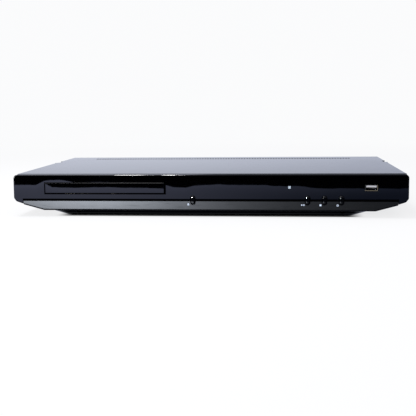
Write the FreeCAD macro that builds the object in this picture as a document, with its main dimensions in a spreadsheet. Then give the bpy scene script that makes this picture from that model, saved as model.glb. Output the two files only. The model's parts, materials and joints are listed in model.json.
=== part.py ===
import FreeCAD, Part
import math
import os
import re
import Sketcher
from FreeCAD import Placement, Rotation, Vector

# A slim full-width disc player. Millimetres, +X to the right seen from the front, +Y to the rear, +Z up.
# The origin is under the middle of the whole player, on the surface that it stands on.

doc = FreeCAD.newDocument("DiscPlayer")
sheet = doc.addObject("Spreadsheet::Sheet", "Sizes")

# Driving sizes. Heights are above the table, and depths are behind the foot of the gloss front.

CASING = {
    "case_width": 431.5, "case_depth": 230, "case_height": 46.8,
    "cover_width": 430, "cover_sheet": 0.8, "cover_skirt": 16.8, "cover_bend": 1.3, "rear_lip": 8,
    "vent_count": 97, "vent_pitch": 3.6, "vent_wide": 2.3, "vent_long": 8.6, "vent_inset": 22,
    "dimple_depth": 158, "dimple_height": 41, "dimple_mouth": 13, "dimple_floor": 8,
    "chassis_sheet": 1, "floor_half": 157, "hull_slope": 15.2, "wall_half": 209.6,
    "chassis_front": 8, "chassis_round": 5, "front_wall_height": 11.6, "chassis_drop": 2,
    "notch_left": -144, "notch_right": 147.6, "notch_height": 6, "notch_radius": 2.75,
    "floor_vent_count": 9, "floor_vent_pitch": 8, "floor_vent_wide": 3, "floor_vent_long": 34,
    "panel_sheet": 1, "panel_half": 213.8,
    "rear_vent_x": -152, "rear_vent_pitch": 5, "rear_vent_count": 20,
    "foot_height": 1, "foot_radius": 9, "foot_half": 138, "foot_front": 30, "foot_rear": 204,
    "screw_radius": 1.5, "screw_head": 3, "screw_head_high": 1.6, "thread_gap": 0.05,
    "side_screw_long": 5, "rear_screw_long": 5, "rear_screw_height": 41.6, "rear_screw_half": 190,
    "play": 0.3, "run_gap": 0.05,
}

FRONT = {
    "seam_height": 19.4, "seam_gap": 1.6, "lean_foot": 18.6, "face_lean": 3.3, "fascia_depth": 12,
    "gloss_drop": 0.2,
    "gloss_wall": 2.2, "gloss_skin": 4.2, "gloss_corner": 4, "gloss_edge": 1,
    "cheek_inner": 205.4, "cheek_low": 14.7, "cheek_outer": 212.9, "cheek_rise": 17.15,
    "cheek_top": 20.7, "cheek_depth": 7.4, "cheek_round": 3.2,
    "strip_setback": 1.2, "strip_end_height": 13.3, "strip_low": 7, "strip_wall": 2, "strip_edge": 1.9,
    "plate_thick": 2.1, "plate_low": 16.3, "lip_reach": 7.7,
    "door_cover": 2.95, "door_low": 26.4, "door_high": 37.9, "door_thick": 3, "door_proud": 0.2,
    "door_gap_left": 1, "door_gap_right": 2, "door_gap_low": 1.2, "door_gap_high": 0.6,
    "button_wide": 5.35, "button_low": 13.9, "button_high": 23.9, "button_gap": 0.35,
    "button_proud": 0.9, "button_round": 1.9, "button_travel": 0.7, "button_pitch": 17.9,
    "eject_x": -13.9, "play_x": 109.9, "stem_radius": 1.6,
    "flange_half": 4, "flange_reach": 1, "flange_thick": 1,
    "board_sheet": 1.6, "front_board_depth": 15, "switch_half": 3, "switch_deep": 3.4,
    "boss_height": 21.5, "boss_radius": 3, "usb_shelf_half": 12, "usb_shelf_reach": 24,
    "usb_shelf_thick": 1.6,
    "plunger_radius": 1.6, "plunger_long": 0.8,
    "light_x": 90.5, "light_low": 31.7, "light_high": 34.4, "light_wide": 2.6,
    "usb_x": 176.65, "usb_wide": 13.1, "usb_low": 29.4, "usb_high": 35.6, "usb_sheet": 0.4,
    "usb_long": 14, "usb_mouth": 0.9, "tongue_low": 33.1, "tongue_high": 35, "tongue_half": 5.5,
}

DRIVE = {
    "tray_x": -112.35, "disc_depth": 72, "disc_radius": 60, "disc_play": 0.75,
    "tray_half": 64, "tray_long": 158, "tray_travel": 132, "rim_height": 36.4, "seat_height": 32.7,
    "small_disc_drop": 1, "small_disc_radius": 40.5, "tray_floor": 30, "skirt_height": 27.4,
    "tray_skin": 2.5, "runner_reach": 2, "runner_thick": 2, "slot_half": 18, "slot_end": 143,
    "hub_hole": 19, "rack_module": 1, "rack_offset": -52, "rack_low": 27, "rack_first": 21.5,
    "pinion_teeth": 14, "wheel_teeth": 40, "drive_teeth": 12, "wheel_module": 0.8, "tooth_play": 0.12,
    "pinion_depth": 27, "pulley_step": 8, "pulley_radius": 9, "motor_pulley_radius": 3, "motor_reach": 33,
    "belt_thick": 1.2, "pulley_low": 23.4, "wheel_low": 20, "wheel_thick": 2.6, "axle_radius": 1.45,
    "runner_room": 1.5, "base_front": 12, "base_rear": 180, "base_low": 5, "base_floor": 2, "base_bend": -50,
    "base_wall": 2.5, "base_high": 34, "ledge_catch": 4, "bridge_low": 40.6, "bridge_sheet": 1.2,
    "bridge_wide": 44, "clamper_hole": 17.2, "clamper_low": 36.7, "motor_can": 8.5,
    "base_screw_left": -40, "base_screw_right": 60, "bridge_screw_inset": 2.8,
    "hinge_depth": 156, "hinge_height": 24, "deck_tilt": 6.2, "deck_half": 35.8, "deck_thick": 3,
    "deck_front": -118, "deck_pin_radius": 1.5, "deck_pin_long": 3.5, "cam_pin_long": 4.5,
    "cam_left": 2, "cam_right": 26, "cam_travel": 24, "cam_front": 34, "cam_thick": 3.5,
    "cam_slot_gap": 0.45, "cam_wall": 1.5, "cam_low": 7.3,
    "turntable_radius": 12.5, "disc_seat": 11.6, "hub_radius": 7.4, "hub_high": 1.8,
    "spindle_can": 11, "spindle_top": 6, "spindle_shaft": 1,
    "rod_radius": 1.5, "rod_left": -26, "rod_right": 21, "rod_height": 3.2,
    "screw_axis": 29, "screw_height": 1, "sled_motor_radius": 3.8, "sled_first": 22, "sled_travel": 36,
    "sled_long": 27,
    "lens_radius": 3, "lens_height": 10.1,
}

BOARDS = {
    "jack_reach": 8.2, "jack_x": 52, "jack_pitch": 14, "jack_height": 18, "jack_radius": 4.15,
    "jack_bore": 1.65, "jack_core": 3.2, "jack_collar": 4.5, "jack_count": 3,
    "board_height": 8, "board_room": 12.35, "board_right": 88, "board_front": 112, "board_gap": 2.2,
    "board_wing": -128, "wing_front": 188,
    "hdmi_x": -14, "hdmi_wide": 15, "hdmi_high": 5.6, "lan_x": 10, "lan_half": 8, "lan_high": 13.4,
    "optical_x": 31, "optical_half": 5.2, "optical_high": 10,
    "power_left": 97, "power_right": 153, "power_front": 70,
    "inlet_x": 128, "inlet_height": 19, "inlet_half": 11, "inlet_tall": 6.6, "inlet_deep": 12,
    "inlet_lobe": 3.9, "inlet_pin_radius": 1.2, "inlet_pin_half": 4.3,
    "chip_x": 30, "chip_y": 150, "pillar_radius": 3,
}

# Sizes that follow from the driving ones.

DERIVED = {
    "face_y": "-(case_depth + jack_reach - button_proud) / 2",
    "cover_half": "cover_width / 2",
    "cover_under": "case_height - cover_sheet",
    "panel_front": "case_depth - cover_sheet - panel_sheet",
    "panel_back": "case_depth - cover_sheet",
    "chassis_top": "cover_under - chassis_drop",
    "floor_top": "foot_height + chassis_sheet",
    "lean_rate": "tan(face_lean)",
    "gloss_top": "case_height - gloss_drop",
    "strip_top": "seam_height - seam_gap",
    "strip_half": "cheek_inner - play",
    "strip_low_half": "strip_half - (strip_end_height - strip_low) / tan(hull_slope)",
    "plate_front": "gloss_skin + play",
    "plate_back": "plate_front + plate_thick",
    "plate_top": "gloss_top - gloss_wall - play",
    "board_rear": "panel_front - board_gap",
    "base_half": "tray_half + runner_reach + runner_room + base_wall",
    "board_left": "tray_x + base_half + board_room",
    "ledge_half": "tray_half - ledge_catch",
    "bridge_screw_x": "base_half - bridge_screw_inset",
    "door_half": "tray_half + door_cover",
    "door_left": "tray_x - door_half",
    "door_right": "tray_x + door_half",
    "gate_left": "door_left - door_gap_left",
    "gate_right": "door_right + door_gap_right",
    "gate_low": "door_low - door_gap_low",
    "gate_high": "door_high + door_gap_high",
    "button_half": "button_wide / 2",
    "well_half": "button_half + button_gap",
    "switch_front": "front_board_depth - switch_deep",
    "stem_end": "switch_front - plunger_long - button_travel - 0.1",
    "tray_front": "door_thick",
    "tray_end": "tray_front + tray_long",
    "rack_pitch": "rack_module * pi",
    "pinion_pitch": "rack_module * pinion_teeth / 2",
    "pinion_x": "rack_offset + pinion_pitch",
    "wheel_pitch": "wheel_module * wheel_teeth / 2",
    "drive_pitch": "wheel_module * drive_teeth / 2",
    "gear_centres": "wheel_pitch + drive_pitch",
    "pulley_x": "pinion_x + sqrt(gear_centres ^ 2 - pulley_step ^ 2)",
    "pulley_depth": "pinion_depth - pulley_step",
    "motor_x": "pulley_x + motor_reach",
    "wall_inner": "base_half - base_wall",
    "base_top": "base_low + base_floor",
    "deck_reach": "cam_front + cam_thick / 2 - hinge_depth",
    "cam_rise": "-deck_reach * sin(deck_tilt)",
    "cam_slot_radius": "deck_pin_radius + cam_slot_gap",
    "spindle_y": "disc_depth - hinge_depth",
    "lens_y": "spindle_y + sled_first",
    "sled_front": "lens_y - 8.5",
    "jack_end": "case_depth + jack_reach",
    "board_top": "board_height + board_sheet",
    "hdmi_low": "board_top",
    "usb_board_low": "usb_low - board_sheet",
    "usb_shelf_low": "usb_board_low - usb_shelf_thick",
    "cam_middle": "(cam_left + cam_right) / 2",
}

aliases = {}


# One row of the sheet: the size's name beside its value or formula.
def add_size(alias, content):
    row = len(aliases) + 1
    sheet.set("A%d" % row, alias)
    sheet.set("B%d" % row, content)
    sheet.setAlias("B%d" % row, alias)
    aliases[alias] = row


for group in (CASING, FRONT, DRIVE, BOARDS):
    for alias, amount in group.items():
        add_size(alias, str(amount))
for alias, formula in DERIVED.items():
    add_size(alias, "=" + formula)
doc.recompute()

WORD = re.compile(r"[A-Za-z_]+")


# An expression over the sheet's names, as an object's property takes it.
def bound(text):
    return WORD.sub(lambda word: "Sizes." + word.group() if word.group() in aliases else word.group(),
                    str(text))


trial = doc.addObject("Spreadsheet::Sheet", "Trial")
known = {}


# The number that an expression over the sheet's names stands for, worked out in a cell of its own.
def number(text):
    if text not in known:
        trial.set("A1", "=" + bound(text))
        trial.recompute()
        known[text] = float(trial.get("A1"))
    return known[text]


nodes = []

# Frames that the sub-parts are placed in: the foot of the gloss front, the disc drive and its tilting deck.
CASE = ("0", "face_y", "0", None)
LOADER = ("tray_x", "face_y", "0", None)
DECK = ("tray_x", "face_y + hinge_depth", "hinge_height", "deck_tilt")


def place(item, frame):
    item.setExpression("Placement.Base.x", bound(frame[0]))
    item.setExpression("Placement.Base.y", bound(frame[1]))
    item.setExpression("Placement.Base.z", bound(frame[2]))
    if frame[3]:
        item.Placement = Placement(Vector(), Rotation(Vector(1, 0, 0), 1))
        item.setExpression("Placement.Rotation.Angle", bound(frame[3]))


def node(item, label):
    item.Label = label
    nodes.append(item)
    return item


# Sketch outlines. Every corner, centre and radius is a constraint bound to the sheet.

def pin_point(sketch, geometry, point, x, y):
    for kind, text in (("DistanceX", x), ("DistanceY", y)):
        index = sketch.addConstraint(Sketcher.Constraint(kind, -1, 1, geometry, point, number(text)))
        sketch.setExpression("Constraints[%d]" % index, bound(text))


def set_radius(sketch, geometry, radius):
    index = sketch.addConstraint(Sketcher.Constraint("Radius", geometry, number(radius)))
    sketch.setExpression("Constraints[%d]" % index, bound(radius))


class Polygon:
    def __init__(self, *corners):
        self.corners = corners

    def draw(self, sketch):
        first = sketch.GeometryCount
        count = len(self.corners)
        points = [Vector(number(x), number(y), 0) for x, y in self.corners]
        for index in range(count):
            sketch.addGeometry(Part.LineSegment(points[index], points[(index + 1) % count]), False)
        for index in range(count):
            following = first + (index + 1) % count
            sketch.addConstraint(Sketcher.Constraint("Coincident", first + index, 2, following, 1))
        for index, (x, y) in enumerate(self.corners):
            pin_point(sketch, first + index, 1, x, y)


def rectangle(left, low, right, high):
    return Polygon((left, low), (right, low), (right, high), (left, high))


# A rectangle about a middle line, by its half width.
def band(middle, half, low, high):
    return rectangle("(%s) - (%s)" % (middle, half), low, "(%s) + (%s)" % (middle, half), high)


# A shape mirrored in the sketch's upright axis: the corners of its right half, from the bottom up.
def mirrored(*corners):
    left = [("-(%s)" % x, y) for x, y in reversed(corners)]
    return Polygon(*(list(corners) + left))


class Circle:
    def __init__(self, x, y, radius):
        self.x, self.y, self.radius = x, y, radius

    def draw(self, sketch):
        centre = Vector(number(self.x), number(self.y), 0)
        index = sketch.addGeometry(Part.Circle(centre, Vector(0, 0, 1), number(self.radius)), False)
        pin_point(sketch, index, 3, self.x, self.y)
        set_radius(sketch, index, self.radius)


# Two round ends joined by their outer tangents, as a belt lies over two pulleys.
class Belt:
    def __init__(self, first, second):
        self.ends = (first, second)

    def draw(self, sketch):
        (ax, ay, ar), (bx, by, br) = [tuple(number(text) for text in end) for end in self.ends]
        span = math.hypot(bx - ax, by - ay)
        heading = math.atan2(by - ay, bx - ax)
        swing = math.acos((ar - br) / span)
        up, down = heading + swing, heading - swing

        def rim(x, y, radius, angle):
            return Vector(x + radius * math.cos(angle), y + radius * math.sin(angle), 0)

        first_circle = Part.Circle(Vector(ax, ay, 0), Vector(0, 0, 1), ar)
        second_circle = Part.Circle(Vector(bx, by, 0), Vector(0, 0, 1), br)
        arc_a = sketch.addGeometry(Part.ArcOfCircle(first_circle, up, down + 2 * math.pi), False)
        line_low = sketch.addGeometry(Part.LineSegment(rim(ax, ay, ar, down), rim(bx, by, br, down)), False)
        arc_b = sketch.addGeometry(Part.ArcOfCircle(second_circle, down, up), False)
        line_high = sketch.addGeometry(Part.LineSegment(rim(bx, by, br, up), rim(ax, ay, ar, up)), False)
        for index, end in zip((arc_a, arc_b), self.ends):
            pin_point(sketch, index, 3, end[0], end[1])
            set_radius(sketch, index, end[2])
        ring = (arc_a, line_low, arc_b, line_high)
        for index in range(4):
            sketch.addConstraint(Sketcher.Constraint("Tangent", ring[index], 2, ring[(index + 1) % 4], 1))


# An upright pill: its middle line, half width, lowest and highest points.
def pill(x, half, low, high):
    return Belt((x, "(%s) + (%s)" % (low, half), half), (x, "(%s) - (%s)" % (high, half), half))


# A sub-part made as a body of sketched features, each grown or cut between two stations along its axis.
class Body:
    def __init__(self, label, frame=CASE, inner=False):
        self.body = doc.addObject("PartDesign::Body", label)
        self.label = label
        self.steps = 0
        place(self.body, frame)
        if not inner:
            node(self.body, label)

    def name(self, what):
        self.steps += 1
        return "%s_%s_%d" % (self.label, what, self.steps)

    def datum(self, role):
        return [item for item in self.body.Origin.OriginFeatures if item.Role == role][0]

    def sketch(self, plane, start, shapes):
        sketch = self.body.newObject("Sketcher::SketchObject", self.name("sketch"))
        sketch.AttachmentSupport = [(self.datum(plane + "_Plane"), "")]
        sketch.MapMode = "FlatFace"
        # The XZ plane faces the front, so its offsets run the other way.
        side = "-" if plane == "XZ" else ""
        sketch.setExpression("AttachmentOffset.Base.z", bound("%s(%s)" % (side, start)))
        for shape in shapes:
            shape.draw(sketch)
        return sketch

    def extrude(self, kind, plane, start, end, shapes):
        sketch = self.sketch(plane, start, shapes)
        feature = self.body.newObject("PartDesign::" + kind, self.name(kind))
        feature.Profile = sketch
        feature.setExpression("Length", bound("(%s) - (%s)" % (end, start)))
        faces_front = plane == "XZ"
        feature.Reversed = faces_front if kind == "Pad" else not faces_front
        sketch.Visibility = False
        return feature

    def add(self, plane, start, end, *shapes):
        return self.extrude("Pad", plane, start, end, shapes)

    def cut(self, plane, start, end, *shapes):
        return self.extrude("Pocket", plane, start, end, shapes)

    # A solid turned about the body's own upright axis from a half section of radii and heights.
    def turn(self, *corners):
        sketch = self.sketch("XZ", "0", [Polygon(*corners)])
        feature = self.body.newObject("PartDesign::Revolution", self.name("turn"))
        feature.Profile = sketch
        feature.ReferenceAxis = (self.datum("Z_Axis"), [""])
        feature.Angle = 360
        return feature

    def row(self, feature, axis, pitch, count):
        pattern = self.body.newObject("PartDesign::LinearPattern", self.name("row"))
        pattern.Originals = [feature]
        pattern.Direction = (self.datum(axis + "_Axis"), [""])
        pattern.setExpression("Length", bound("(%s) * ((%s) - 1)" % (pitch, count)))
        pattern.setExpression("Occurrences", bound(count))
        self.body.Tip = pattern
        return pattern

    def ring(self, feature, count):
        pattern = self.body.newObject("PartDesign::PolarPattern", self.name("ring"))
        pattern.Originals = [feature]
        pattern.Axis = (self.datum("Z_Axis"), [""])
        pattern.Angle = 360
        pattern.Occurrences = count
        self.body.Tip = pattern
        return pattern

    # Rounds every edge of the present solid that passes the test.
    def round(self, radius, test):
        doc.recompute()
        base = self.body.Tip
        chosen = ["Edge%d" % (index + 1) for index, edge in enumerate(base.Shape.Edges) if test(edge)]
        feature = self.body.newObject("PartDesign::Fillet", self.name("round"))
        feature.Base = (base, chosen)
        feature.setExpression("Radius", bound(radius))
        return feature

    # Hollows the solid to a sheet, open at the faces that pass the test.
    def hollow(self, sheet_thickness, test):
        doc.recompute()
        base = self.body.Tip
        chosen = ["Face%d" % (index + 1) for index, face in enumerate(base.Shape.Faces) if test(face)]
        feature = self.body.newObject("PartDesign::Thickness", self.name("hollow"))
        feature.Base = (base, chosen)
        feature.Reversed = True
        feature.setExpression("Value", bound(sheet_thickness))
        return feature


# A test for edges or faces whose whole extent lies at the given coordinates.
def lies_at(x=None, y=None, z=None):
    wanted = [None if text is None else number(text) for text in (x, y, z)]

    def test(item):
        box = item.BoundBox
        extents = ((box.XMin, box.XMax), (box.YMin, box.YMax), (box.ZMin, box.ZMax))
        for value, (low, high) in zip(wanted, extents):
            if value is not None and (abs(low - value) > 0.01 or abs(high - value) > 0.01):
                return False
        return True

    return test


# Loose solids from the Part workbench, placed in one of the frames.

AXES = {
    "x": Rotation(Vector(0, 1, 0), 90),
    "y": Rotation(Vector(1, 0, 0), -90),
    "z": Rotation(Vector(0, 0, 1), 0),
}


def shift(frame, x, y, z):
    spots = ["(%s) + (%s)" % (origin, step) for origin, step in zip(frame[:3], (x, y, z))]
    return spots[0], spots[1], spots[2], None


# A straight round solid that starts at the point and runs along the axis.
def rod(name, frame, x, y, z, axis, radius, length):
    item = doc.addObject("Part::Cylinder", name)
    item.Placement = Placement(Vector(), AXES[axis])
    place(item, shift(frame, x, y, z))
    item.setExpression("Radius", bound(radius))
    item.setExpression("Height", bound(length))
    return item


def block(name, frame, low, high):
    item = doc.addObject("Part::Box", name)
    place(item, shift(frame, *low))
    for size_name, start, end in zip(("Length", "Width", "Height"), low, high):
        item.setExpression(size_name, bound("(%s) - (%s)" % (end, start)))
    return item


def fuse(name, *items):
    item = doc.addObject("Part::MultiFuse", name)
    item.Shapes = list(items)
    return item


def cut(name, base, *tools):
    item = doc.addObject("Part::Cut", name)
    item.Base = base
    item.Tool = tools[0] if len(tools) == 1 else fuse(name + "_tools", *tools)
    return item


def group(label, items):
    item = doc.addObject("Part::Compound", label)
    item.Links = items
    return node(item, label)


# A pan-head screw: the point is under its head, and the shank runs along the axis, backwards if told.
def screw(name, frame, x, y, z, axis, length, backwards=False):
    spot = {"x": x, "y": y, "z": z}
    head_start = dict(spot)
    shank_start = dict(spot)
    if backwards:
        shank_start[axis] = "(%s) - (%s)" % (spot[axis], length)
    else:
        head_start[axis] = "(%s) - screw_head_high" % spot[axis]
    head = rod(name + "_head", frame, head_start["x"], head_start["y"], head_start["z"], axis,
               "screw_head", "screw_head_high")
    shank = rod(name + "_shank", frame, shank_start["x"], shank_start["y"], shank_start["z"], axis,
                "screw_radius", length)
    return fuse(name, head, shank)


# Casing

REAR_SCREWS = ("-rear_screw_half", "0", "rear_screw_half")


def make_top_cover():
    shell = Body("cover_shell", inner=True)
    shell.add("XZ", "fascia_depth + play", "case_depth", mirrored(
        ("cover_half - cover_sheet", "cover_under"), ("cover_half - cover_sheet", "cover_skirt"),
        ("cover_half", "cover_skirt"), ("cover_half", "case_height")))
    shell.add("XZ", "panel_back", "case_depth", mirrored(
        ("cover_half - cover_sheet", "cover_under - rear_lip"), ("cover_half - cover_sheet", "cover_under")))
    shell.cut("XZ", "panel_back - 1", "case_depth + 1", *[
        Circle(x, "rear_screw_height", "screw_radius + thread_gap") for x in REAR_SCREWS])
    first = shell.cut("XY", "cover_under - 1", "case_height + 1", rectangle(
        "-vent_pitch * (vent_count - 1) / 2 - vent_wide / 2", "case_depth - vent_inset - vent_long",
        "-vent_pitch * (vent_count - 1) / 2 + vent_wide / 2", "case_depth - vent_inset"))
    shell.row(first, "X", "vent_pitch", "vent_count")
    shell.round("cover_bend", lambda edge: any(
        lies_at(x=side + "cover_half", z="case_height")(edge) for side in ("", "-")))
    # Each side is pressed in to a round dimple, deep enough for its floor to bear on the chassis wall.
    envelope = block("cover_envelope", CASE, ("-cover_half", "fascia_depth + play", "cover_skirt"),
                     ("cover_half", "case_depth", "case_height"))
    cups = [dish("cup_" + side, side, "cover_sheet", "0") for side in ("left", "right")]
    cup_walls = doc.addObject("Part::MultiCommon", "cup_walls")
    cup_walls.Shapes = [envelope, fuse("cups", *cups)]
    hollows = [dish("hollow_" + side, side, "0", "cover_sheet") for side in ("left", "right")]
    holes = [rod("dimple_hole_" + side, CASE, start, "dimple_depth", "dimple_height", "x",
                 "screw_radius + thread_gap", "cover_half - wall_half + 2")
             for side, start in (("left", "-cover_half - 1"), ("right", "wall_half - 1"))]
    cover = cut("top_cover", fuse("cover_pressed", shell.body, cup_walls), *(hollows + holes))
    node(cover, "top_cover")


# A cone that narrows inwards from the cover's side. The wall is added to its radius, and the lift keeps
# its floor that far out from the chassis wall.
def dish(name, side, wall, lift):
    cone = doc.addObject("Part::Cone", name)
    cone.Placement = Placement(Vector(), Rotation(Vector(0, 1, 0), 90 if side == "right" else -90))
    sign = "" if side == "right" else "-"
    place(cone, shift(CASE, "%s(wall_half + %s)" % (sign, lift), "dimple_depth", "dimple_height"))
    cone.setExpression("Radius1", bound("dimple_floor + " + wall))
    cone.setExpression("Radius2", bound("dimple_mouth + " + wall))
    cone.setExpression("Height", bound("cover_half - wall_half - (%s)" % lift))
    return cone


def hull_outline(side_x, top):
    rise = "foot_height + (%s - floor_half) * tan(hull_slope)" % side_x
    return mirrored(("floor_half", "foot_height"), (side_x, rise), (side_x, top))


def make_bottom_chassis():
    chassis = Body("bottom_chassis")
    chassis.add("XZ", "chassis_front", "panel_front", hull_outline("wall_half", "chassis_top"))
    top = lies_at(z="chassis_top")
    front = lies_at(y="chassis_front")
    chassis.round("chassis_round", lambda edge: front(edge) and not top(edge))
    back = lies_at(y="panel_front")
    chassis.hollow("chassis_sheet", lambda face: top(face) or back(face))
    # The front wall is low between its corners, where the front frame takes over.
    chassis.cut("XZ", "chassis_front - 1", "chassis_front + chassis_round + 1", band(
        "0", "wall_half - chassis_round - 2", "front_wall_height", "case_height"))
    chassis.cut("XZ", "chassis_front - 1", "chassis_front + chassis_round", *[
        Circle(x, "notch_height", "notch_radius") for x in ("notch_left", "notch_right")])
    first = chassis.cut("XY", "foot_height - 1", "floor_top + 1", rectangle(
        "chip_x - floor_vent_pitch * 4 - floor_vent_wide / 2", "chip_y - floor_vent_long / 2",
        "chip_x - floor_vent_pitch * 4 + floor_vent_wide / 2", "chip_y + floor_vent_long / 2"))
    chassis.row(first, "X", "floor_vent_pitch", "floor_vent_count")
    chassis.cut("YZ", "-wall_half - 1", "wall_half + 1", Circle(
        "dimple_depth", "dimple_height", "screw_radius + thread_gap"))


def make_rear_panel():
    panel = Body("rear_panel")
    panel.add("XZ", "panel_front", "panel_back", hull_outline("panel_half", "cover_under"))
    reach = ("panel_front - 1", "panel_back + 1")
    panel.cut("XZ", *reach,
              band("hdmi_x", "hdmi_wide / 2 + play", "hdmi_low - play", "hdmi_low + hdmi_high + play"),
              band("lan_x", "lan_half + play", "board_top - play", "board_top + lan_high + play"),
              band("optical_x", "optical_half + play", "board_top - play", "board_top + optical_high + play"),
              band("inlet_x", "inlet_half + play", "inlet_height - inlet_tall - play",
                   "inlet_height + inlet_tall + play"))
    for index in range(int(number("jack_count"))):
        panel.cut("XZ", *reach, Circle(jack_spot(index), "jack_height", "jack_collar + thread_gap"))
    panel.cut("XZ", *reach, *[
        Circle(x, "rear_screw_height", "screw_radius + thread_gap") for x in REAR_SCREWS])
    first = panel.cut("XZ", *reach, band("rear_vent_x", "1.5", "16", "32"))
    panel.row(first, "X", "rear_vent_pitch", "rear_vent_count")


def make_feet():
    feet = []
    for x in ("-foot_half", "foot_half"):
        for y in ("foot_front", "foot_rear"):
            feet.append(rod("foot_pad", CASE, x, y, "0", "z", "foot_radius", "foot_height"))
    group("feet", feet)


def make_cover_screws():
    screws = [
        screw("side_screw_right", CASE, "wall_half + cover_sheet", "dimple_depth", "dimple_height", "x",
              "side_screw_long", backwards=True),
        screw("side_screw_left", CASE, "-(wall_half + cover_sheet)", "dimple_depth", "dimple_height", "x",
              "side_screw_long"),
    ]
    for x in REAR_SCREWS:
        screws.append(screw("rear_screw", CASE, x, "case_depth", "rear_screw_height", "y",
                            "rear_screw_long", backwards=True))
    group("cover_screws", screws)


# Front

BUTTONS = {
    "eject_button": "eject_x",
    "play_button": "play_x",
    "stop_button": "play_x + button_pitch",
    "power_button": "play_x + button_pitch * 2",
}


# The plane of the gloss face leans back from its foot upwards; a cut in front of it, set off by the amount.
def lean_cut(body, half, offset):
    low, high = "cheek_low - 10", "case_height + 10"
    body.cut("YZ", "-(%s)" % half, half, Polygon(
        ("-12", low), ("(%s) + (%s - lean_foot) * lean_rate" % (offset, low), low),
        ("(%s) + (%s - lean_foot) * lean_rate" % (offset, high), high), ("-12", high)))


def button_wells():
    return [pill(x, "well_half", "button_low - button_gap", "button_high + button_gap")
            for x in BUTTONS.values()]


def make_gloss_panel():
    panel = Body("gloss_panel")
    panel.add("XZ", "-1", "fascia_depth", mirrored(
        ("cheek_inner", "seam_height"), ("cheek_inner", "cheek_low"), ("cheek_outer", "cheek_rise"),
        ("case_width / 2", "cheek_top"), ("case_width / 2", "gloss_top")))
    lean_cut(panel, "case_width / 2 + 1", "0")
    corners = [lies_at(x=side + "case_width / 2", z="gloss_top") for side in ("", "-")]
    panel.round("gloss_corner", lambda edge: any(test(edge) for test in corners))
    bends = [lies_at(x=side + x, z=z) for side in ("", "-")
             for x, z in (("case_width / 2", "cheek_top"), ("cheek_outer", "cheek_rise"))]
    panel.round("cheek_round", lambda edge: any(test(edge) for test in bends))
    depth = number("fascia_depth")
    inner_edges = [lies_at(x="cheek_inner"), lies_at(x="-cheek_inner")]

    # The front rim: edges of the face apart from the two short ones beside the strip's ends.
    def on_rim(edge):
        return edge.BoundBox.YMax < depth / 2 and not any(test(edge) for test in inner_edges)

    panel.round("gloss_edge", on_rim)
    # Hollow behind: open at the seam between the cheeks, with a return along the top and both ends.
    panel.cut("XZ", "gloss_skin", "fascia_depth + 1", mirrored(
        ("cheek_inner", "seam_height - 2"), ("cheek_inner", "cheek_top"),
        ("case_width / 2 - gloss_wall", "cheek_top"),
        ("case_width / 2 - gloss_wall", "gloss_top - gloss_wall")))
    panel.cut("XZ", "cheek_depth", "fascia_depth + 1", band(
        "0", "case_width / 2 - gloss_wall", "cheek_low - 1", "cheek_top + 0.01"))
    panel.cut("XZ", "-5", "gloss_skin + 1", rectangle("gate_left", "gate_low", "gate_right", "gate_high"))
    panel.cut("XZ", "-5", "gloss_skin + 1", *button_wells())
    panel.cut("XZ", "-5", "gloss_skin + 1",
              band("light_x", "light_wide / 2 + thread_gap", "light_low - thread_gap",
                   "light_high + thread_gap"),
              band("usb_x", "usb_wide / 2 + play", "usb_low - play", "usb_high + play"))


def make_front_frame():
    frame = Body("front_frame")
    frame.add("XZ", "strip_setback", "plate_back", mirrored(
        ("strip_low_half", "strip_low"), ("strip_half", "strip_end_height"), ("strip_half", "strip_top")))
    front = lies_at(y="strip_setback")
    top = lies_at(z="strip_top")
    upright = [lies_at(x=side + "strip_half") for side in ("", "-")]
    frame.round("strip_edge", lambda edge: front(edge) and not top(edge) and not any(
        test(edge) for test in upright))
    frame.add("XZ", "plate_front", "plate_back", band("0", "strip_half", "strip_top - 1", "plate_top"))
    frame.cut("XZ", "strip_setback + strip_wall", "plate_back + 1", mirrored(
        ("strip_low_half - 4", "strip_low + strip_wall"),
        ("strip_half - strip_wall - 3", "strip_end_height + 0.5"),
        ("strip_half - strip_wall - 3", "plate_low")))
    frame.add("XZ", "plate_back", "lip_reach", mirrored(
        ("strip_low_half - 3", "strip_low"), ("strip_low_half - 3", "strip_low + strip_wall")))
    # Hooks on the lower lip reach into the chassis notches.
    frame.add("XZ", "lip_reach", "chassis_front + chassis_sheet + 1.2", *[
        band(x, "1.2", "strip_low", "strip_low + 1.2") for x in ("notch_left", "notch_right")])
    frame.cut("XZ", "plate_front - 1", "plate_back + 1", rectangle(
        "gate_left - play", "gate_low - play", "gate_right + play", "gate_high + play"))
    frame.cut("XZ", "strip_setback - 1", "plate_back + 1", *button_wells())
    frame.cut("XZ", "plate_front - 1", "plate_back + 1",
              band("light_x", "light_wide / 2 + play", "light_low - play", "light_high + play"),
              band("light_x + 12", "3", "light_low - 1", "light_high + 1"),
              band("usb_x", "usb_wide / 2 + play", "usb_low - play", "usb_high + play"))
    # A shelf carries the small board of the front socket, and bosses carry the button board.
    frame.add("XZ", "plate_back", "usb_shelf_reach", band("usb_x", "usb_shelf_half", "usb_shelf_low",
                                                          "usb_board_low"))
    bosses = [Circle(x, "boss_height", "boss_radius") for x in BOARD_BOSSES]
    frame.add("XZ", "plate_back", "front_board_depth", *bosses)
    holes = [Circle(x, "boss_height", "screw_radius + thread_gap") for x in BOARD_BOSSES]
    frame.cut("XZ", "plate_back", "front_board_depth + 1", *holes)


BOARD_BOSSES = ("eject_x + 26", "play_x - 42", "play_x + button_pitch * 2 - 9")


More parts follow.
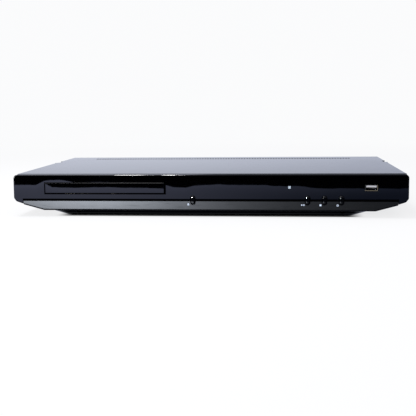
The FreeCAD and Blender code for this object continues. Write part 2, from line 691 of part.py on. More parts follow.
def make_button(label, x):
    button = Body(label)
    button.add("XZ", "-button_proud", "plate_back + play",
               pill(x, "button_half", "button_low", "button_high"))
    tip = lies_at(y="-button_proud")
    button.round("button_round", tip)
    button.add("XZ", "plate_back + play", "plate_back + play + flange_thick", band(
        x, "flange_half", "button_low - flange_reach", "button_high + flange_reach"))
    middle = "(button_low + button_high) / 2"
    button.add("XZ", "plate_back + play + flange_thick", "stem_end", Circle(x, middle, "stem_radius"))


def make_front_board():
    board = Body("front_board")
    board.add("XZ", "front_board_depth", "front_board_depth + board_sheet", Polygon(
        ("eject_x - 10", "9.5"), ("play_x + button_pitch * 2 + 10", "9.5"),
        ("play_x + button_pitch * 2 + 10", "26"), ("light_x + 22", "26"), ("light_x + 22", "38.5"),
        ("light_x - 12", "38.5"), ("light_x - 12", "26"), ("eject_x - 10", "26")))
    board.cut("XZ", "front_board_depth - 1", "front_board_depth + board_sheet + 1", *[
        Circle(x, "boss_height", "screw_radius + thread_gap") for x in BOARD_BOSSES])
    group("frame_screws", [
        screw("board_screw", CASE, x, "front_board_depth + board_sheet", "boss_height", "y", "6",
              backwards=True)
        for x in BOARD_BOSSES])
    middle = "(button_low + button_high) / 2"
    switches = []
    for x in BUTTONS.values():
        can = block("switch_can", CASE, (x + " - switch_half", "switch_front", middle + " - switch_half"),
                    (x + " + switch_half", "front_board_depth", middle + " + switch_half"))
        plunger = rod("switch_plunger", CASE, x, "switch_front - plunger_long", middle, "y",
                      "plunger_radius", "plunger_long")
        switches.append(fuse("tact_switch", can, plunger))
    group("tact_switches", switches)
    lens = Body("indicator_lens")
    lens.add("XZ", "0", "front_board_depth - 1.3",
             band("light_x", "light_wide / 2", "light_low", "light_high"))
    lean_cut(lens, "light_x + 10", "0")
    node(block("indicator_led", CASE, ("light_x - 1.5", "front_board_depth - 1.1", "light_low + 0.4"),
               ("light_x + 1.5", "front_board_depth", "light_high - 0.4")), "indicator_led")
    eye_body = block("receiver_body", CASE, ("light_x + 9", "front_board_depth - 5", "light_low - 2"),
                     ("light_x + 15", "front_board_depth", "light_high + 2"))
    eye = doc.addObject("Part::Sphere", "receiver_eye")
    place(eye, shift(CASE, "light_x + 12", "front_board_depth - 5", "(light_low + light_high) / 2"))
    eye.Radius = 2.4
    node(fuse("ir_receiver", eye_body, eye), "ir_receiver")


def make_usb():
    shell = Body("usb_shell")
    shell.add("XZ", "usb_mouth", "usb_mouth + usb_long", band("usb_x", "usb_wide / 2", "usb_low", "usb_high"))
    shell.cut("XZ", "usb_mouth - 1", "usb_mouth + usb_long + 1", band(
        "usb_x", "usb_wide / 2 - usb_sheet", "usb_low + usb_sheet", "usb_high - usb_sheet"))
    tongue = Body("usb_tongue")
    tongue.add("XZ", "usb_mouth + usb_long - 3", "usb_mouth + usb_long", band(
        "usb_x", "usb_wide / 2 - usb_sheet - thread_gap", "usb_low + usb_sheet + thread_gap",
        "usb_high - usb_sheet - thread_gap"))
    tongue.add("XZ", "usb_mouth + 1.2", "usb_mouth + usb_long - 3", band(
        "usb_x", "tongue_half", "tongue_low", "tongue_high"))
    contacts = [block("usb_contact", CASE, ("usb_x + %s - 0.55" % x, "usb_mouth + 2.2", "tongue_low - 0.25"),
                      ("usb_x + %s + 0.55" % x, "usb_mouth + usb_long - 3", "tongue_low"))
                for x in ("(-3.5)", "(-1)", "1", "3.5")]
    group("usb_contacts", contacts)
    node(block("usb_board", CASE, ("usb_x - usb_shelf_half", "plate_back + play", "usb_board_low"),
               ("usb_x + usb_shelf_half", "usb_mouth + usb_long + 10", "usb_board_low + board_sheet")),
               "usb_board")


# Disc drive

def make_tray():
    tray = Body("disc_tray", LOADER)
    tray.add("XY", "tray_floor", "rim_height", rectangle("-tray_half", "tray_front", "tray_half", "tray_end"))
    tray.round("3",
               lambda edge: abs(edge.BoundBox.ZLength - (number("rim_height") - number("tray_floor"))) < 0.01)
    tray.add("XY", "skirt_height", "tray_floor", rectangle(
        "-tray_half + 3", "tray_front", "tray_half - 3", "tray_front + tray_skin"))
    tray.add("XZ", "tray_front + 3", "tray_end - 3", rectangle(
        "tray_half - tray_skin", "skirt_height", "tray_half", "tray_floor"), rectangle(
        "-tray_half", "skirt_height", "-tray_half + tray_skin", "tray_floor"))
    tray.add("XZ", "tray_front + 3", "tray_end - 3", rectangle(
        "tray_half", "skirt_height", "tray_half + runner_reach", "skirt_height + runner_thick"), rectangle(
        "-tray_half - runner_reach", "skirt_height", "-tray_half", "skirt_height + runner_thick"))
    tray.cut("XY", "seat_height", "rim_height + 1", Circle("0", "disc_depth", "disc_radius + disc_play"))
    tray.cut("XY", "seat_height - small_disc_drop", "rim_height", Circle(
        "0", "disc_depth", "small_disc_radius"))
    tray.cut("XY", "tray_floor - 1", "rim_height", Circle("0", "disc_depth", "hub_hole"))
    tray.cut("XY", "tray_floor - 1", "rim_height + 1",
             rectangle("-slot_half", "disc_depth", "slot_half", "slot_end"))
    # The rack: a bar under the left side, with its teeth towards the middle.
    tray.add("XY", "rack_low", "tray_floor", rectangle(
        "rack_offset - rack_module * 3.4", "rack_first - rack_pitch / 2", "rack_offset - rack_module * 1.25",
        "tray_end"))
    tooth = tray.add("XY", "rack_low", "tray_floor", rack_tooth())
    tray.row(tooth, "Y", "rack_pitch", "floor((tray_end - rack_first) / rack_pitch) + 1")


# One straight-sided tooth at the rack's first pitch, with a share of the backlash off each flank.
def rack_tooth():
    root = "rack_offset - rack_module * 1.25"
    tip = "rack_offset + rack_module"
    root_half = "rack_pitch / 4 - tooth_play / 2 + rack_module * 1.25 * tan(20)"
    tip_half = "rack_pitch / 4 - tooth_play / 2 - rack_module * tan(20)"
    return Polygon((root + " - 0.2", "rack_first - (%s)" % root_half),
                   (root, "rack_first - (%s)" % root_half),
                   (tip, "rack_first - (%s)" % tip_half), (tip, "rack_first + %s" % tip_half),
                   (root, "rack_first + %s" % root_half), (root + " - 0.2", "rack_first + %s" % root_half))


def make_door():
    door = Body("tray_door")
    door.add("XZ", "-1", "door_thick", rectangle("door_left", "door_low", "door_right", "door_high"))
    lean_cut(door, "case_width / 2", "-door_proud")
    low = number("door_thick") - 0.1
    door.round("0.5", lambda edge: edge.BoundBox.YMax < low)
    # Two clips reach under the front wall of the tray.
    door.add("XZ", "door_thick", "door_thick + tray_skin + 3", *[
        band("tray_x + (%s)" % x, "7", "door_low + 0.1", "skirt_height - 0.05") for x in ("-38", "38")])


# An involute tooth outline as a closed wire: the flank's points from root to tip, mirrored and turned.
def gear_face(teeth, module, phase, play):
    pitch = module * teeth / 2
    base = pitch * math.cos(math.radians(20))
    root = pitch - 1.25 * module
    tip = pitch + module
    pressure = math.tan(math.radians(20)) - math.radians(20)
    half_tooth = math.pi / 2 / teeth - play / 2 / pitch
    flank = []
    for radius in (max(base, root + 0.01), (base + tip) / 2, tip):
        roll = math.acos(min(1, base / radius))
        flank.append((radius, half_tooth + pressure - (math.tan(roll) - roll)))
    if base > root + 0.1:
        flank.insert(0, (root, flank[0][1]))
    points = []
    for index in range(teeth):
        middle = phase + 2 * math.pi * index / teeth
        points += [(radius, middle - angle) for radius, angle in flank]
        points += [(radius, middle + angle) for radius, angle in reversed(flank)]
    corners = [Vector(radius * math.cos(angle), radius * math.sin(angle), 0) for radius, angle in points]
    return Part.Face(Part.makePolygon(corners + corners[:1]))


def lifted(face, low, high):
    solid = face.extrude(Vector(0, 0, high - low))
    solid.translate(Vector(0, 0, low))
    return solid


def make_gears():
    toward_drive = math.atan2(-number("pulley_step"), number("pulley_x") - number("pinion_x"))
    play = number("tooth_play")
    wheel_low = number("wheel_low")
    wheel_high = wheel_low + number("wheel_thick")
    axle_hole = number("axle_radius + run_gap")

    # The pinion has a gap where the rack has a tooth on the line through its axle.
    pinion_teeth = int(number("pinion_teeth"))
    from_tooth = (number("pinion_depth") - number("rack_first")) / number("rack_pitch")
    share = from_tooth - math.floor(from_tooth)
    pinion_phase = math.pi + (share - 0.5) * 2 * math.pi / pinion_teeth
    wheel = lifted(gear_face(int(number("wheel_teeth")), number("wheel_module"), toward_drive, play),
                   wheel_low, wheel_high)
    pinion_top = number("tray_floor") - 0.4
    pinion = lifted(gear_face(pinion_teeth, number("rack_module"), pinion_phase, play), wheel_high,
                    pinion_top)
    bore = Part.makeCylinder(axle_hole, pinion_top - wheel_low + 2, Vector(0, 0, wheel_low - 1))
    rack_gear = doc.addObject("Part::Feature", "rack_gear")
    rack_gear.Shape = wheel.fuse(pinion).removeSplitter().cut(bore)
    place(rack_gear, shift(LOADER, "pinion_x", "pinion_depth", "0"))
    node(rack_gear, "rack_gear")

    drive_teeth = int(number("drive_teeth"))
    drive_phase = toward_drive + math.pi + math.pi / drive_teeth
    pulley_low = number("pulley_low")
    drive = lifted(gear_face(drive_teeth, number("wheel_module"), drive_phase, play), wheel_low - 0.2,
                   pulley_low)
    pulley = pulley_solid(number("pulley_radius"))
    top = pulley_low + number("belt_thick") + 1.6
    bore = Part.makeCylinder(axle_hole, top - wheel_low + 2, Vector(0, 0, wheel_low - 1))
    pulley_gear = doc.addObject("Part::Feature", "pulley_gear")
    pulley_gear.Shape = drive.fuse(pulley).removeSplitter().cut(bore)
    place(pulley_gear, shift(LOADER, "pulley_x", "pulley_depth", "0"))
    node(pulley_gear, "pulley_gear")

    shaft = Part.makeCylinder(1, 8, Vector(0, 0, pulley_low - 7))
    motor_pulley = doc.addObject("Part::Feature", "motor_pulley")
    motor_pulley.Shape = pulley_solid(number("motor_pulley_radius")).fuse(shaft).removeSplitter()
    place(motor_pulley, shift(LOADER, "motor_x", "pulley_depth", "0"))
    node(motor_pulley, "motor_pulley")


# A grooved pulley turned from its half section. The radius is that of the belt's middle.
def pulley_solid(radius):
    low = number("pulley_low")
    thick = number("belt_thick")
    groove = radius - thick / 2 - number("run_gap")
    edge = radius + 0.8
    section = [(0, 0), (edge, 0), (edge, 0.5), (groove, 0.7), (groove, 0.9 + thick), (edge, 1.1 + thick),
               (edge, 1.6 + thick), (0, 1.6 + thick)]
    wire = Part.makePolygon([Vector(x, 0, low + z) for x, z in section + section[:1]])
    return Part.Face(wire).revolve(Vector(0, 0, 0), Vector(0, 0, 1), 360)


def make_belt():
    belt = Body("drive_belt", LOADER)
    low = "pulley_low + 0.8"
    outer = Belt(("pulley_x", "pulley_depth", "pulley_radius + belt_thick / 2"),
                 ("motor_x", "pulley_depth", "motor_pulley_radius + belt_thick / 2"))
    inner = Belt(("pulley_x", "pulley_depth", "pulley_radius - belt_thick / 2"),
                 ("motor_x", "pulley_depth", "motor_pulley_radius - belt_thick / 2"))
    belt.add("XY", low, low + " + belt_thick", outer, inner)


def make_loading_motor():
    motor = Body("loading_motor", shift(LOADER, "motor_x", "pulley_depth", "0"))
    motor.add("XY", "base_top", "pulley_low - 4.2", Circle("0", "0", "motor_can"))
    motor.add("XY", "pulley_low - 4.2", "pulley_low - 3", Circle("0", "0", "3.5"))
    motor.cut("XY", "pulley_low - 8", "pulley_low", Circle("0", "0", "1 + run_gap"))


def make_loader_base():
    base = Body("loader_base", LOADER)
    ledge_top = "skirt_height - play"
    rail_low = "skirt_height + runner_thick + play"
    rail_half = "tray_half + play + 0.1"
    groove_half = "tray_half + runner_reach + play"
    rail = [("wall_inner", ledge_top + " - 2"), ("ledge_half", ledge_top + " - 2"), ("ledge_half", ledge_top),
            (groove_half, ledge_top), (groove_half, rail_low), (rail_half, rail_low),
            (rail_half, "base_high"),
            ("base_half", "base_high")]
    left_rail = [("-(%s)" % x, z) for x, z in rail]
    # The floor bends up on the left, along the chassis.
    base.add("XZ", "base_front", "base_rear", Polygon(*(
        [("wall_inner", "base_top")] + rail + [("base_half", "base_low"), ("base_bend", "base_low")]
        + [("-base_half", "base_low + (base_half + base_bend) * tan(hull_slope)")] + left_rail[::-1]
        + [("-wall_inner", "base_top + (wall_inner + base_bend) * tan(hull_slope)"),
           ("base_bend", "base_top")])))
    base.add("XZ", "base_rear - base_wall", "base_rear", Polygon(
        ("base_bend", "base_low"), ("wall_inner + 1", "base_low"), ("wall_inner + 1", "tray_floor - 3"),
        ("-wall_inner - 1", "tray_floor - 3"),
        ("-wall_inner - 1", "base_low + (wall_inner + 1 + base_bend) * tan(hull_slope)")))
    base.cut("XY", "base_low - 1", "base_top + 1", rectangle(
        "-deck_half - 5", "cam_front + cam_thick + 8", "deck_half + 5", "hinge_depth - 8"))
    # Posts carry the clamp bridge above the tray.
    half = "bridge_wide / 2"
    base.add("XY", "base_high", "bridge_low", *[rectangle(
        x, "disc_depth - " + half, x + " + base_half - (%s)" % rail_half, "disc_depth + " + half)
        for x in ("-base_half", rail_half)])
    # Lugs for the deck's hinge pins, guides for the cam slider, and the gear axles.
    base.add("YZ", "deck_half + play", "deck_half + play + deck_pin_long", hinge_lug())
    base.add("YZ", "-deck_half - play - deck_pin_long", "-deck_half - play", hinge_lug())
    base.cut("YZ", "-deck_half - 5", "deck_half + 5", Circle(
        "hinge_depth", "hinge_height", "deck_pin_radius + run_gap"))
    base.add("XZ", "cam_front - play - 1.2", "cam_front - play",
             band("cam_middle", "34", "base_top", "base_top + 4"))
    base.add("XZ", "cam_front + cam_thick + play", "cam_front + cam_thick + play + 1.2", band(
        "cam_middle", "34", "base_top", "base_top + 1.6"))
    for x, y, seat, tip in (("pinion_x", "pinion_depth", "wheel_low - play", "tray_floor - 1"),
                            ("pulley_x", "pulley_depth", "wheel_low - 0.2 - play",
                             "pulley_low + belt_thick + 2")):
        base.add("XY", "base_top", seat, Circle(x, y, "3"))
        base.add("XY", seat, tip, Circle(x, y, "axle_radius"))
    spots = [(x, y) for x in ("base_screw_left", "base_screw_right") for y in LOADER_SCREW_ROWS]
    base.add("XY", "floor_top", "base_low", *[Circle(x, y, "4") for x, y in spots])
    base.cut("XY", "floor_top", "base_top + 1",
             *[Circle(x, y, "screw_radius + thread_gap") for x, y in spots])
    bridge_spots = [(x, y) for x in ("-bridge_screw_x", "bridge_screw_x") for y in BRIDGE_SCREW_ROWS]
    base.cut("XY", "bridge_low - 6", "bridge_low + 1", *[
        Circle(x, y, "screw_radius + thread_gap") for x, y in bridge_spots])
    low_screws = [screw("base_screw", LOADER, x, y, "base_top", "z", "4.5", backwards=True) for x, y in spots]
    top_screws = [screw("bridge_screw", LOADER, x, y, "bridge_low + bridge_sheet", "z", "6", backwards=True)
                  for x, y in bridge_spots]
    group("loader_screws", low_screws + top_screws)
    make_bridge(bridge_spots)


LOADER_SCREW_ROWS = ("base_front + 9", "base_rear - 12")
BRIDGE_SCREW_ROWS = ("disc_depth - 16", "disc_depth + 16")


def hinge_lug():
    return Polygon(("hinge_depth - 6", "base_low"), ("hinge_depth + 6", "base_low"),
                   ("hinge_depth + 3.5", "hinge_height + 3"), ("hinge_depth - 3.5", "hinge_height + 3"))


def make_bridge(screw_spots):
    bridge = Body("clamp_bridge", LOADER)
    half = "bridge_wide / 2"
    top = "bridge_low + bridge_sheet"
    bridge.add("XY", "bridge_low", top, rectangle(
        "-base_half", "disc_depth - " + half, "base_half", "disc_depth + " + half))
    bridge.add("XZ", "disc_depth - " + half, "disc_depth - %s + bridge_sheet" % half,
               band("0", "base_half - 8", top, top + " + 2"))
    bridge.add("XZ", "disc_depth + %s - bridge_sheet" % half, "disc_depth + " + half,
               band("0", "base_half - 8", top, top + " + 2"))
    bridge.cut("XY", "bridge_low - 1", top + " + 1", Circle("0", "disc_depth", "clamper_hole"))
    bridge.cut("XY", "bridge_low - 1", top + " + 1", *[
        Circle(x, y, "screw_radius + thread_gap") for x, y in screw_spots])
    clamper = Body("clamper", shift(LOADER, "0", "disc_depth", "0"))
    rest = "bridge_low + bridge_sheet + 0.1"
    clamper.turn(("0", "clamper_low + 2.6"), ("9.2", "clamper_low + 2.4"), ("9.6", "clamper_low"),
                 ("14", "clamper_low"), ("14", "clamper_low + 1.6"),
                 ("clamper_hole - play", "clamper_low + 2.2"),
                 ("clamper_hole - play", rest), ("clamper_hole + 2.2", rest),
                 ("clamper_hole + 2.2", rest + " + 1.1"),
                 ("0", rest + " + 1.1"))


def make_cam_slider():
    slider = Body("cam_slider", LOADER)
    reach = "cam_slot_radius + cam_wall"
    slider.add("XZ", "cam_front", "cam_front + cam_thick", Polygon(
        ("cam_left - cam_travel - %s" % reach, "cam_low"), ("cam_right + %s" % reach, "cam_low"),
        ("cam_right + %s" % reach, "hinge_height - cam_rise + %s" % reach),
        ("cam_right - cam_travel + %s + 3" % reach, "hinge_height + %s" % reach),
        ("cam_left - cam_travel - %s" % reach, "hinge_height + %s" % reach)))
    low, high = "hinge_height - cam_rise", "hinge_height"
    slider.cut("XZ", "cam_front - 1", "cam_front + cam_thick + 1", *[
        Belt((x, low, "cam_slot_radius"), (x + " - cam_travel", high, "cam_slot_radius"))
        for x in ("cam_left", "cam_right")])


def make_deck():
    deck = Body("traverse_deck", DECK)
    half = "deck_thick / 2"
    low, high = "-deck_thick / 2", half
    deck.add("XY", low, high, rectangle("-deck_half", "deck_front", "deck_half", "14.5"))
    deck.add("YZ", "-deck_half - deck_pin_long", "deck_half + deck_pin_long",
             Circle("0", "0", "deck_pin_radius"))
    deck.add("XZ", "deck_front - cam_pin_long", "deck_front", *[
        Circle(x, "0", "deck_pin_radius") for x in ("cam_left", "cam_right")])
    deck.cut("XY", low + " - 1", high + " + 1", rectangle("-31", "-73", "33.5", "-4.5"))
    deck.cut("XY", low + " - 1", high + " + 1", band(
        "screw_axis", "sled_motor_radius + 0.4", "0.3", "15"))
    deck.cut("XY", low + " - 1", high + " + 1", Circle("0", "spindle_y", "spindle_can + play"))
    # One front corner is cut away around the big wheel of the tray drive.
    deck.cut("XY", low + " - 1", high + " + 1", Circle(
        "pinion_x", "pinion_depth - hinge_depth", "wheel_pitch + wheel_module + 1.7"))
    # Raised lugs at both ends of the opening hold the rods and the lead screw.
    lug_high = "rod_height + 2"
    for start, end in (("-76", "-71.3"), ("-6", "-1")):
        deck.add("XZ", start, end, *[band(x, "2.6", half + " - 0.5", lug_high)
                                     for x in ("rod_left", "rod_right")])
        deck.add("XZ", start, end, band("screw_axis", "2.6", "-1", "screw_height + 2.6"))
    deck.cut("XZ", "-75", "-2", *[Circle(x, "rod_height", "rod_radius + thread_gap")
                                  for x in ("rod_left", "rod_right")])
    deck.cut("XZ", "-75", "1", Circle("screw_axis", "screw_height", "rod_radius + run_gap"))

    motor = Body("spindle_motor", DECK)
    motor.add("XY", low + " - 1.3", low + " - 0.1", Circle("0", "spindle_y", "spindle_can + 2.4"))
    motor.add("XY", low + " - 0.1", "spindle_top", Circle("0", "spindle_y", "spindle_can"))
    motor.cut("XY", "-1", "spindle_top + 1", Circle("0", "spindle_y", "spindle_shaft + run_gap"))

    seat = "disc_seat"
    axis = ("tray_x", "face_y + hinge_depth + spindle_y * cos(deck_tilt)",
            "hinge_height + spindle_y * sin(deck_tilt)", "deck_tilt")
    table = Body("turntable", axis)
    table.turn(("0", "-0.8"), ("spindle_shaft", "-0.8"), ("spindle_shaft", "spindle_top + play"),
               ("turntable_radius", "spindle_top + play"), ("turntable_radius", seat),
               ("hub_radius + 0.8", seat), ("hub_radius + 0.8", seat + " - 0.6"),
               ("hub_radius", seat + " - 0.6"),
               ("hub_radius", seat + " + hub_high * 0.55"), ("hub_radius - 1.6", seat + " + hub_high"),
               ("0", seat + " + hub_high"))
    # Three fingers on the hub centre the disc.
    gap = table.cut("XY", seat + " + 0.2", seat + " + hub_high + 1",
                    rectangle("3.4", "-1.2", "hub_radius + 1", "1.2"))
    table.ring(gap, 3)

    rods = []
    for x in ("rod_left", "rod_right"):
        rods.append(deck_rod("guide_rod", x, "-74.5", "rod_height", "rod_radius", "72"))
    group("guide_rods", rods)

    sled_motor = Body("sled_motor", DECK)
    sled_motor.add("XZ", "0.3", "14", Circle("screw_axis", "screw_height", "sled_motor_radius"))
    sled_motor.cut("XZ", "0", "4", Circle("screw_axis", "screw_height", "rod_radius + run_gap"))
    node(deck_rod("lead_screw", "screw_axis", "-74.5", "screw_height", "rod_radius", "78"), "lead_screw")


# A rod along the deck, tilted with it: its place is worked out in the deck's frame.
def deck_rod(name, x, start, height, radius, length):
    rod_body = Body(name, DECK, inner=True)
    rod_body.add("XZ", start, "(%s) + %s" % (start, length), Circle(x, height, radius))
    return rod_body.body


def make_sled():
    sled = Body("pickup_sled", DECK)
    front, rear = "sled_front", "sled_front + sled_long"
    sled.add("XZ", front, rear, rectangle("rod_left - 3.2", "1", "rod_right + 3", "5.4"))
    sled.add("XZ", front, front + " + 16",
             Polygon(("-14", "5.4"), ("14", "5.4"), ("12.5", "8.6"), ("-12.5", "8.6")))
    sled.add("XZ", front + " + 2", rear + " - 2", band("0", "14", "-2.4", "1"))
    sled.add("XZ", front + " + 8", front + " + 17",
             rectangle("rod_right + 2", "-1.2", "screw_axis + 2.6", "3.4"))
    sled.cut("XZ", front + " - 1", rear + " + 1", *[
        Circle(x, "rod_height", "rod_radius + run_gap") for x in ("rod_left", "rod_right")])
    sled.cut("XZ", front + " - 1", rear + " + 1",
             Circle("screw_axis", "screw_height", "rod_radius + run_gap"))
    lens = Body("objective_lens", DECK)
    lens.add("XY", "8.6", "lens_height", Circle("0", "lens_y", "lens_radius"))
    lens.round("1", lies_at(z="lens_height"))


# Electronics

def jack_spot(index):
    return "jack_x + jack_pitch * %d" % index


def make_boards():
    board = Body("main_board")
    board.add("XY", "board_height", "board_top", Polygon(
        ("board_left", "board_front"), ("board_right", "board_front"), ("board_right", "board_rear"),
        ("board_wing", "board_rear"), ("board_wing", "wing_front"), ("board_left", "wing_front")))
    spots = [("board_left + 5", "board_front + 5"), ("board_right - 5", "board_front + 5"),
             ("board_right - 5", "board_rear - 40"), ("board_wing + 6", "board_rear - 6")]
    board.cut("XY", "board_height - 1", "board_top + 1", *[
        Circle(x, y, "screw_radius + thread_gap") for x, y in spots])
    power = Body("power_board")
    power.add("XY", "board_height", "board_top",
              rectangle("power_left", "power_front", "power_right", "board_rear"))
    power_spots = [("power_left + 5", "power_front + 5"), ("power_right - 5", "power_front + 5"),
                   ("power_left + 5", "board_rear - 30"), ("power_right - 5", "board_rear - 30")]
    power.cut("XY", "board_height - 1", "board_top + 1", *[
        Circle(x, y, "screw_radius + thread_gap") for x, y in power_spots])
    pillars = []
    for x, y in spots + power_spots:
        post = rod("post", CASE, x, y, "floor_top", "z", "pillar_radius", "board_height - floor_top")
        hole = rod("post_hole", CASE, x, y, "floor_top + 1.5", "z", "screw_radius + thread_gap",
                   "board_height")
        pillars.append(cut("pillar", post, hole))
    group("board_pillars", pillars)
    group("board_screws", [screw("pcb_screw", CASE, x, y, "board_top", "z", "5", backwards=True)
                           for x, y in spots + power_spots])
    make_board_parts()


def make_board_parts():
    chips = [block("main_chip", CASE, ("chip_x - 14", "chip_y - 14", "board_top"),
                   ("chip_x + 14", "chip_y + 14", "board_top + 1.8"))]
    for step in ("-12", "6"):
        chips.append(block("memory_chip", CASE, ("chip_x + 24", "chip_y + (%s)" % step, "board_top"),
                           ("chip_x + 36", "chip_y + (%s) + 9" % step, "board_top + 1.2")))
    chips.append(block("driver_chip", CASE, ("board_wing + 22", "wing_front + 14", "board_top"),
                       ("board_wing + 36", "wing_front + 24", "board_top + 1.6")))
    group("board_chips", chips)
    sink = Body("heat_sink")
    sink.add("XY", "board_top + 1.8", "board_top + 3.8",
             rectangle("chip_x - 15", "chip_y - 15", "chip_x + 15", "chip_y + 15"))
    fin = sink.add("XY", "board_top + 3.8", "board_top + 14", rectangle(
        "chip_x - 15", "chip_y - 15", "chip_x - 13.6", "chip_y + 15"))
    sink.row(fin, "X", "4.766", "7")
    core = block("transformer_core", CASE, ("power_left + 12", "power_front + 52", "board_top"),
                 ("power_left + 40", "power_front + 76", "board_top + 20"))
    winding = block("transformer_winding", CASE, ("power_left + 9", "power_front + 56", "board_top + 4"),
                    ("power_left + 43", "power_front + 72", "board_top + 16"))
    node(fuse("transformer", core, winding), "transformer")
    caps = [rod("bulk_capacitor", CASE, "power_right - 14", "power_front + 100", "board_top", "z", "9", "26")]
    for step in range(3):
        caps.append(rod("output_capacitor", CASE, "power_left + 9", "power_front + 84 + %d" % (step * 13),
                        "board_top", "z", "5", "16"))
    group("power_capacitors", caps)


def make_sockets():
    hdmi = Body("hdmi_socket")
    rear = "panel_back + 0.2"
    hdmi.add("XZ", "panel_front - 11", rear,
             band("hdmi_x", "hdmi_wide / 2", "hdmi_low", "hdmi_low + hdmi_high"))
    hdmi.cut("XZ", "panel_front - 9", rear + " + 1", band(
        "hdmi_x", "hdmi_wide / 2 - 0.5", "hdmi_low + 0.5", "hdmi_low + hdmi_high - 0.5"))
    hdmi.add("XZ", "panel_front - 9", rear + " - 1.5", band(
        "hdmi_x", "hdmi_wide / 2 - 1.9", "hdmi_low + 2.2", "hdmi_low + 3.3"))
    lan = Body("lan_socket")
    lan.add("XZ", "panel_front - 15", rear, band("lan_x", "lan_half", "board_top", "board_top + lan_high"))
    lan.cut("XZ", rear + " - 12.5", rear + " + 1",
            band("lan_x", "5.9", "board_top + 3.4", "board_top + 11.4"))
    lan.cut("XZ", rear + " - 12.5", rear + " + 1", band("lan_x", "3", "board_top + 1.6", "board_top + 3.5"))
    optical = Body("optical_socket")
    optical.add("XZ", "panel_front - 12", rear, band(
        "optical_x", "optical_half", "board_top", "board_top + optical_high"))
    optical.cut("XZ", rear + " - 1.2", rear + " + 1",
                band("optical_x", "3.4", "board_top + 2", "board_top + 8"))
    jacks = Body("av_jack_block")
    jacks.add("XZ", "panel_front - 14", "panel_front - 0.2", rectangle(
        "jack_x - 7", "board_top", "jack_x + jack_pitch * (jack_count - 1) + 7", "board_top + 15"))
    sleeves, inserts = [], []
    for index in range(int(number("jack_count"))):
        x = jack_spot(index)
        collar = rod("collar", CASE, x, "panel_front - 0.2", "jack_height", "y", "jack_collar",
                     "panel_sheet + 0.2")
        barrel = rod("barrel", CASE, x, "panel_back - 0.1", "jack_height", "y", "jack_radius",
                     "jack_reach + 0.9")
        hollow = rod("barrel_hollow", CASE, x, "panel_front - 1", "jack_height", "y", "jack_core",
                     "jack_reach + 4")
        sleeves.append(cut("sleeve", fuse("sleeve_solid", collar, barrel), hollow))
        insert = rod("insert", CASE, x, "panel_front - 0.2", "jack_height", "y", "jack_core - thread_gap",
                     "jack_reach + 1.2")
        socket = rod("insert_bore", CASE, x, "panel_back", "jack_height", "y", "jack_bore", "jack_reach + 2")
        inserts.append(cut("jack_insert", insert, socket))
    group("av_jack_sleeves", sleeves)
    group("av_jack_inserts", inserts)
    inlet = Body("mains_inlet")
    inlet.add("XZ", "panel_front - 15", "panel_back + 0.6", band(
        "inlet_x", "inlet_half", "inlet_height - inlet_tall", "inlet_height + inlet_tall"))
    lobe = "inlet_x + 3.6", "inlet_x - 3.6"
    inlet.cut("XZ", "panel_back + 0.6 - inlet_deep", "panel_back + 2", Belt(
        (lobe[0], "inlet_height", "inlet_lobe"), (lobe[1], "inlet_height", "inlet_lobe")))
    pins = [rod("inlet_pin", CASE, "inlet_x + inlet_pin_half * (%d)" % side, "panel_back + 0.6 - inlet_deep",
                "inlet_height", "y", "inlet_pin_radius", "inlet_deep - 2") for side in (-1, 1)]
    group("inlet_pins", pins)


# A flat cable drawn side on: its route in depth and height, and its thickness measured upwards.
def ribbon(label, middle, half, route, thickness):
    cable = Body(label)
    over = [(y, "(%s) + %s" % (z, thickness)) for y, z in reversed(route)]
    cable.add("YZ", "(%s) - %s" % (middle, half), "(%s) + %s" % (middle, half), Polygon(*(route + over)))


def make_ribbons():
    ribbon("loader_ribbon", "tray_x", "12", [
        ("base_rear + 0.1", "base_low + 1"), ("base_rear + 3", "base_low + 1.6"),
        ("wing_front + 4", "board_top + 3"),
        ("wing_front + 8", "board_top + 2"), ("wing_front + 11", "board_top + 0.1")], "0.5")
    ribbon("front_ribbon", "eject_x + 40", "6", [
        ("front_board_depth + board_sheet + 0.1", "12"), ("front_board_depth + 6", "11"),
        ("front_board_depth + 14", "floor_top + 0.3"), ("board_front - 12", "floor_top + 0.3"),
        ("board_front - 3", "board_top + 2"), ("board_front + 3", "board_top + 2"),
        ("board_front + 8", "board_top + 0.1")], "0.5")


make_top_cover()
make_bottom_chassis()
make_rear_panel()
make_feet()
make_cover_screws()
make_gloss_panel()
make_front_frame()
for label, x in BUTTONS.items():
    make_button(label, x)
make_front_board()
make_usb()
make_tray()
make_door()
make_gears()
make_belt()
make_loading_motor()
make_loader_base()
make_cam_slider()
make_deck()
make_sled()
make_boards()
make_sockets()
make_ribbons()

doc.recompute()

faults = []
for item in doc.Objects:
    if "Invalid" in item.State or "Error" in item.State:
        faults.append("%s is %s" % (item.Name, item.State))
for item in nodes:
    if item.Shape.isNull() or not item.Shape.isValid() or not item.Shape.Solids:
        faults.append("%s has no valid solid" % item.Label)
if faults:
    raise SystemExit("\n".join(faults))

os.makedirs("parts", exist_ok=True)
for item in nodes:
    item.Shape.exportStep("parts/%s.step" % item.Label)
print("%d nodes written" % len(nodes))
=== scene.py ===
import json
import math

import bmesh
import bpy
from mathutils import Matrix, Vector


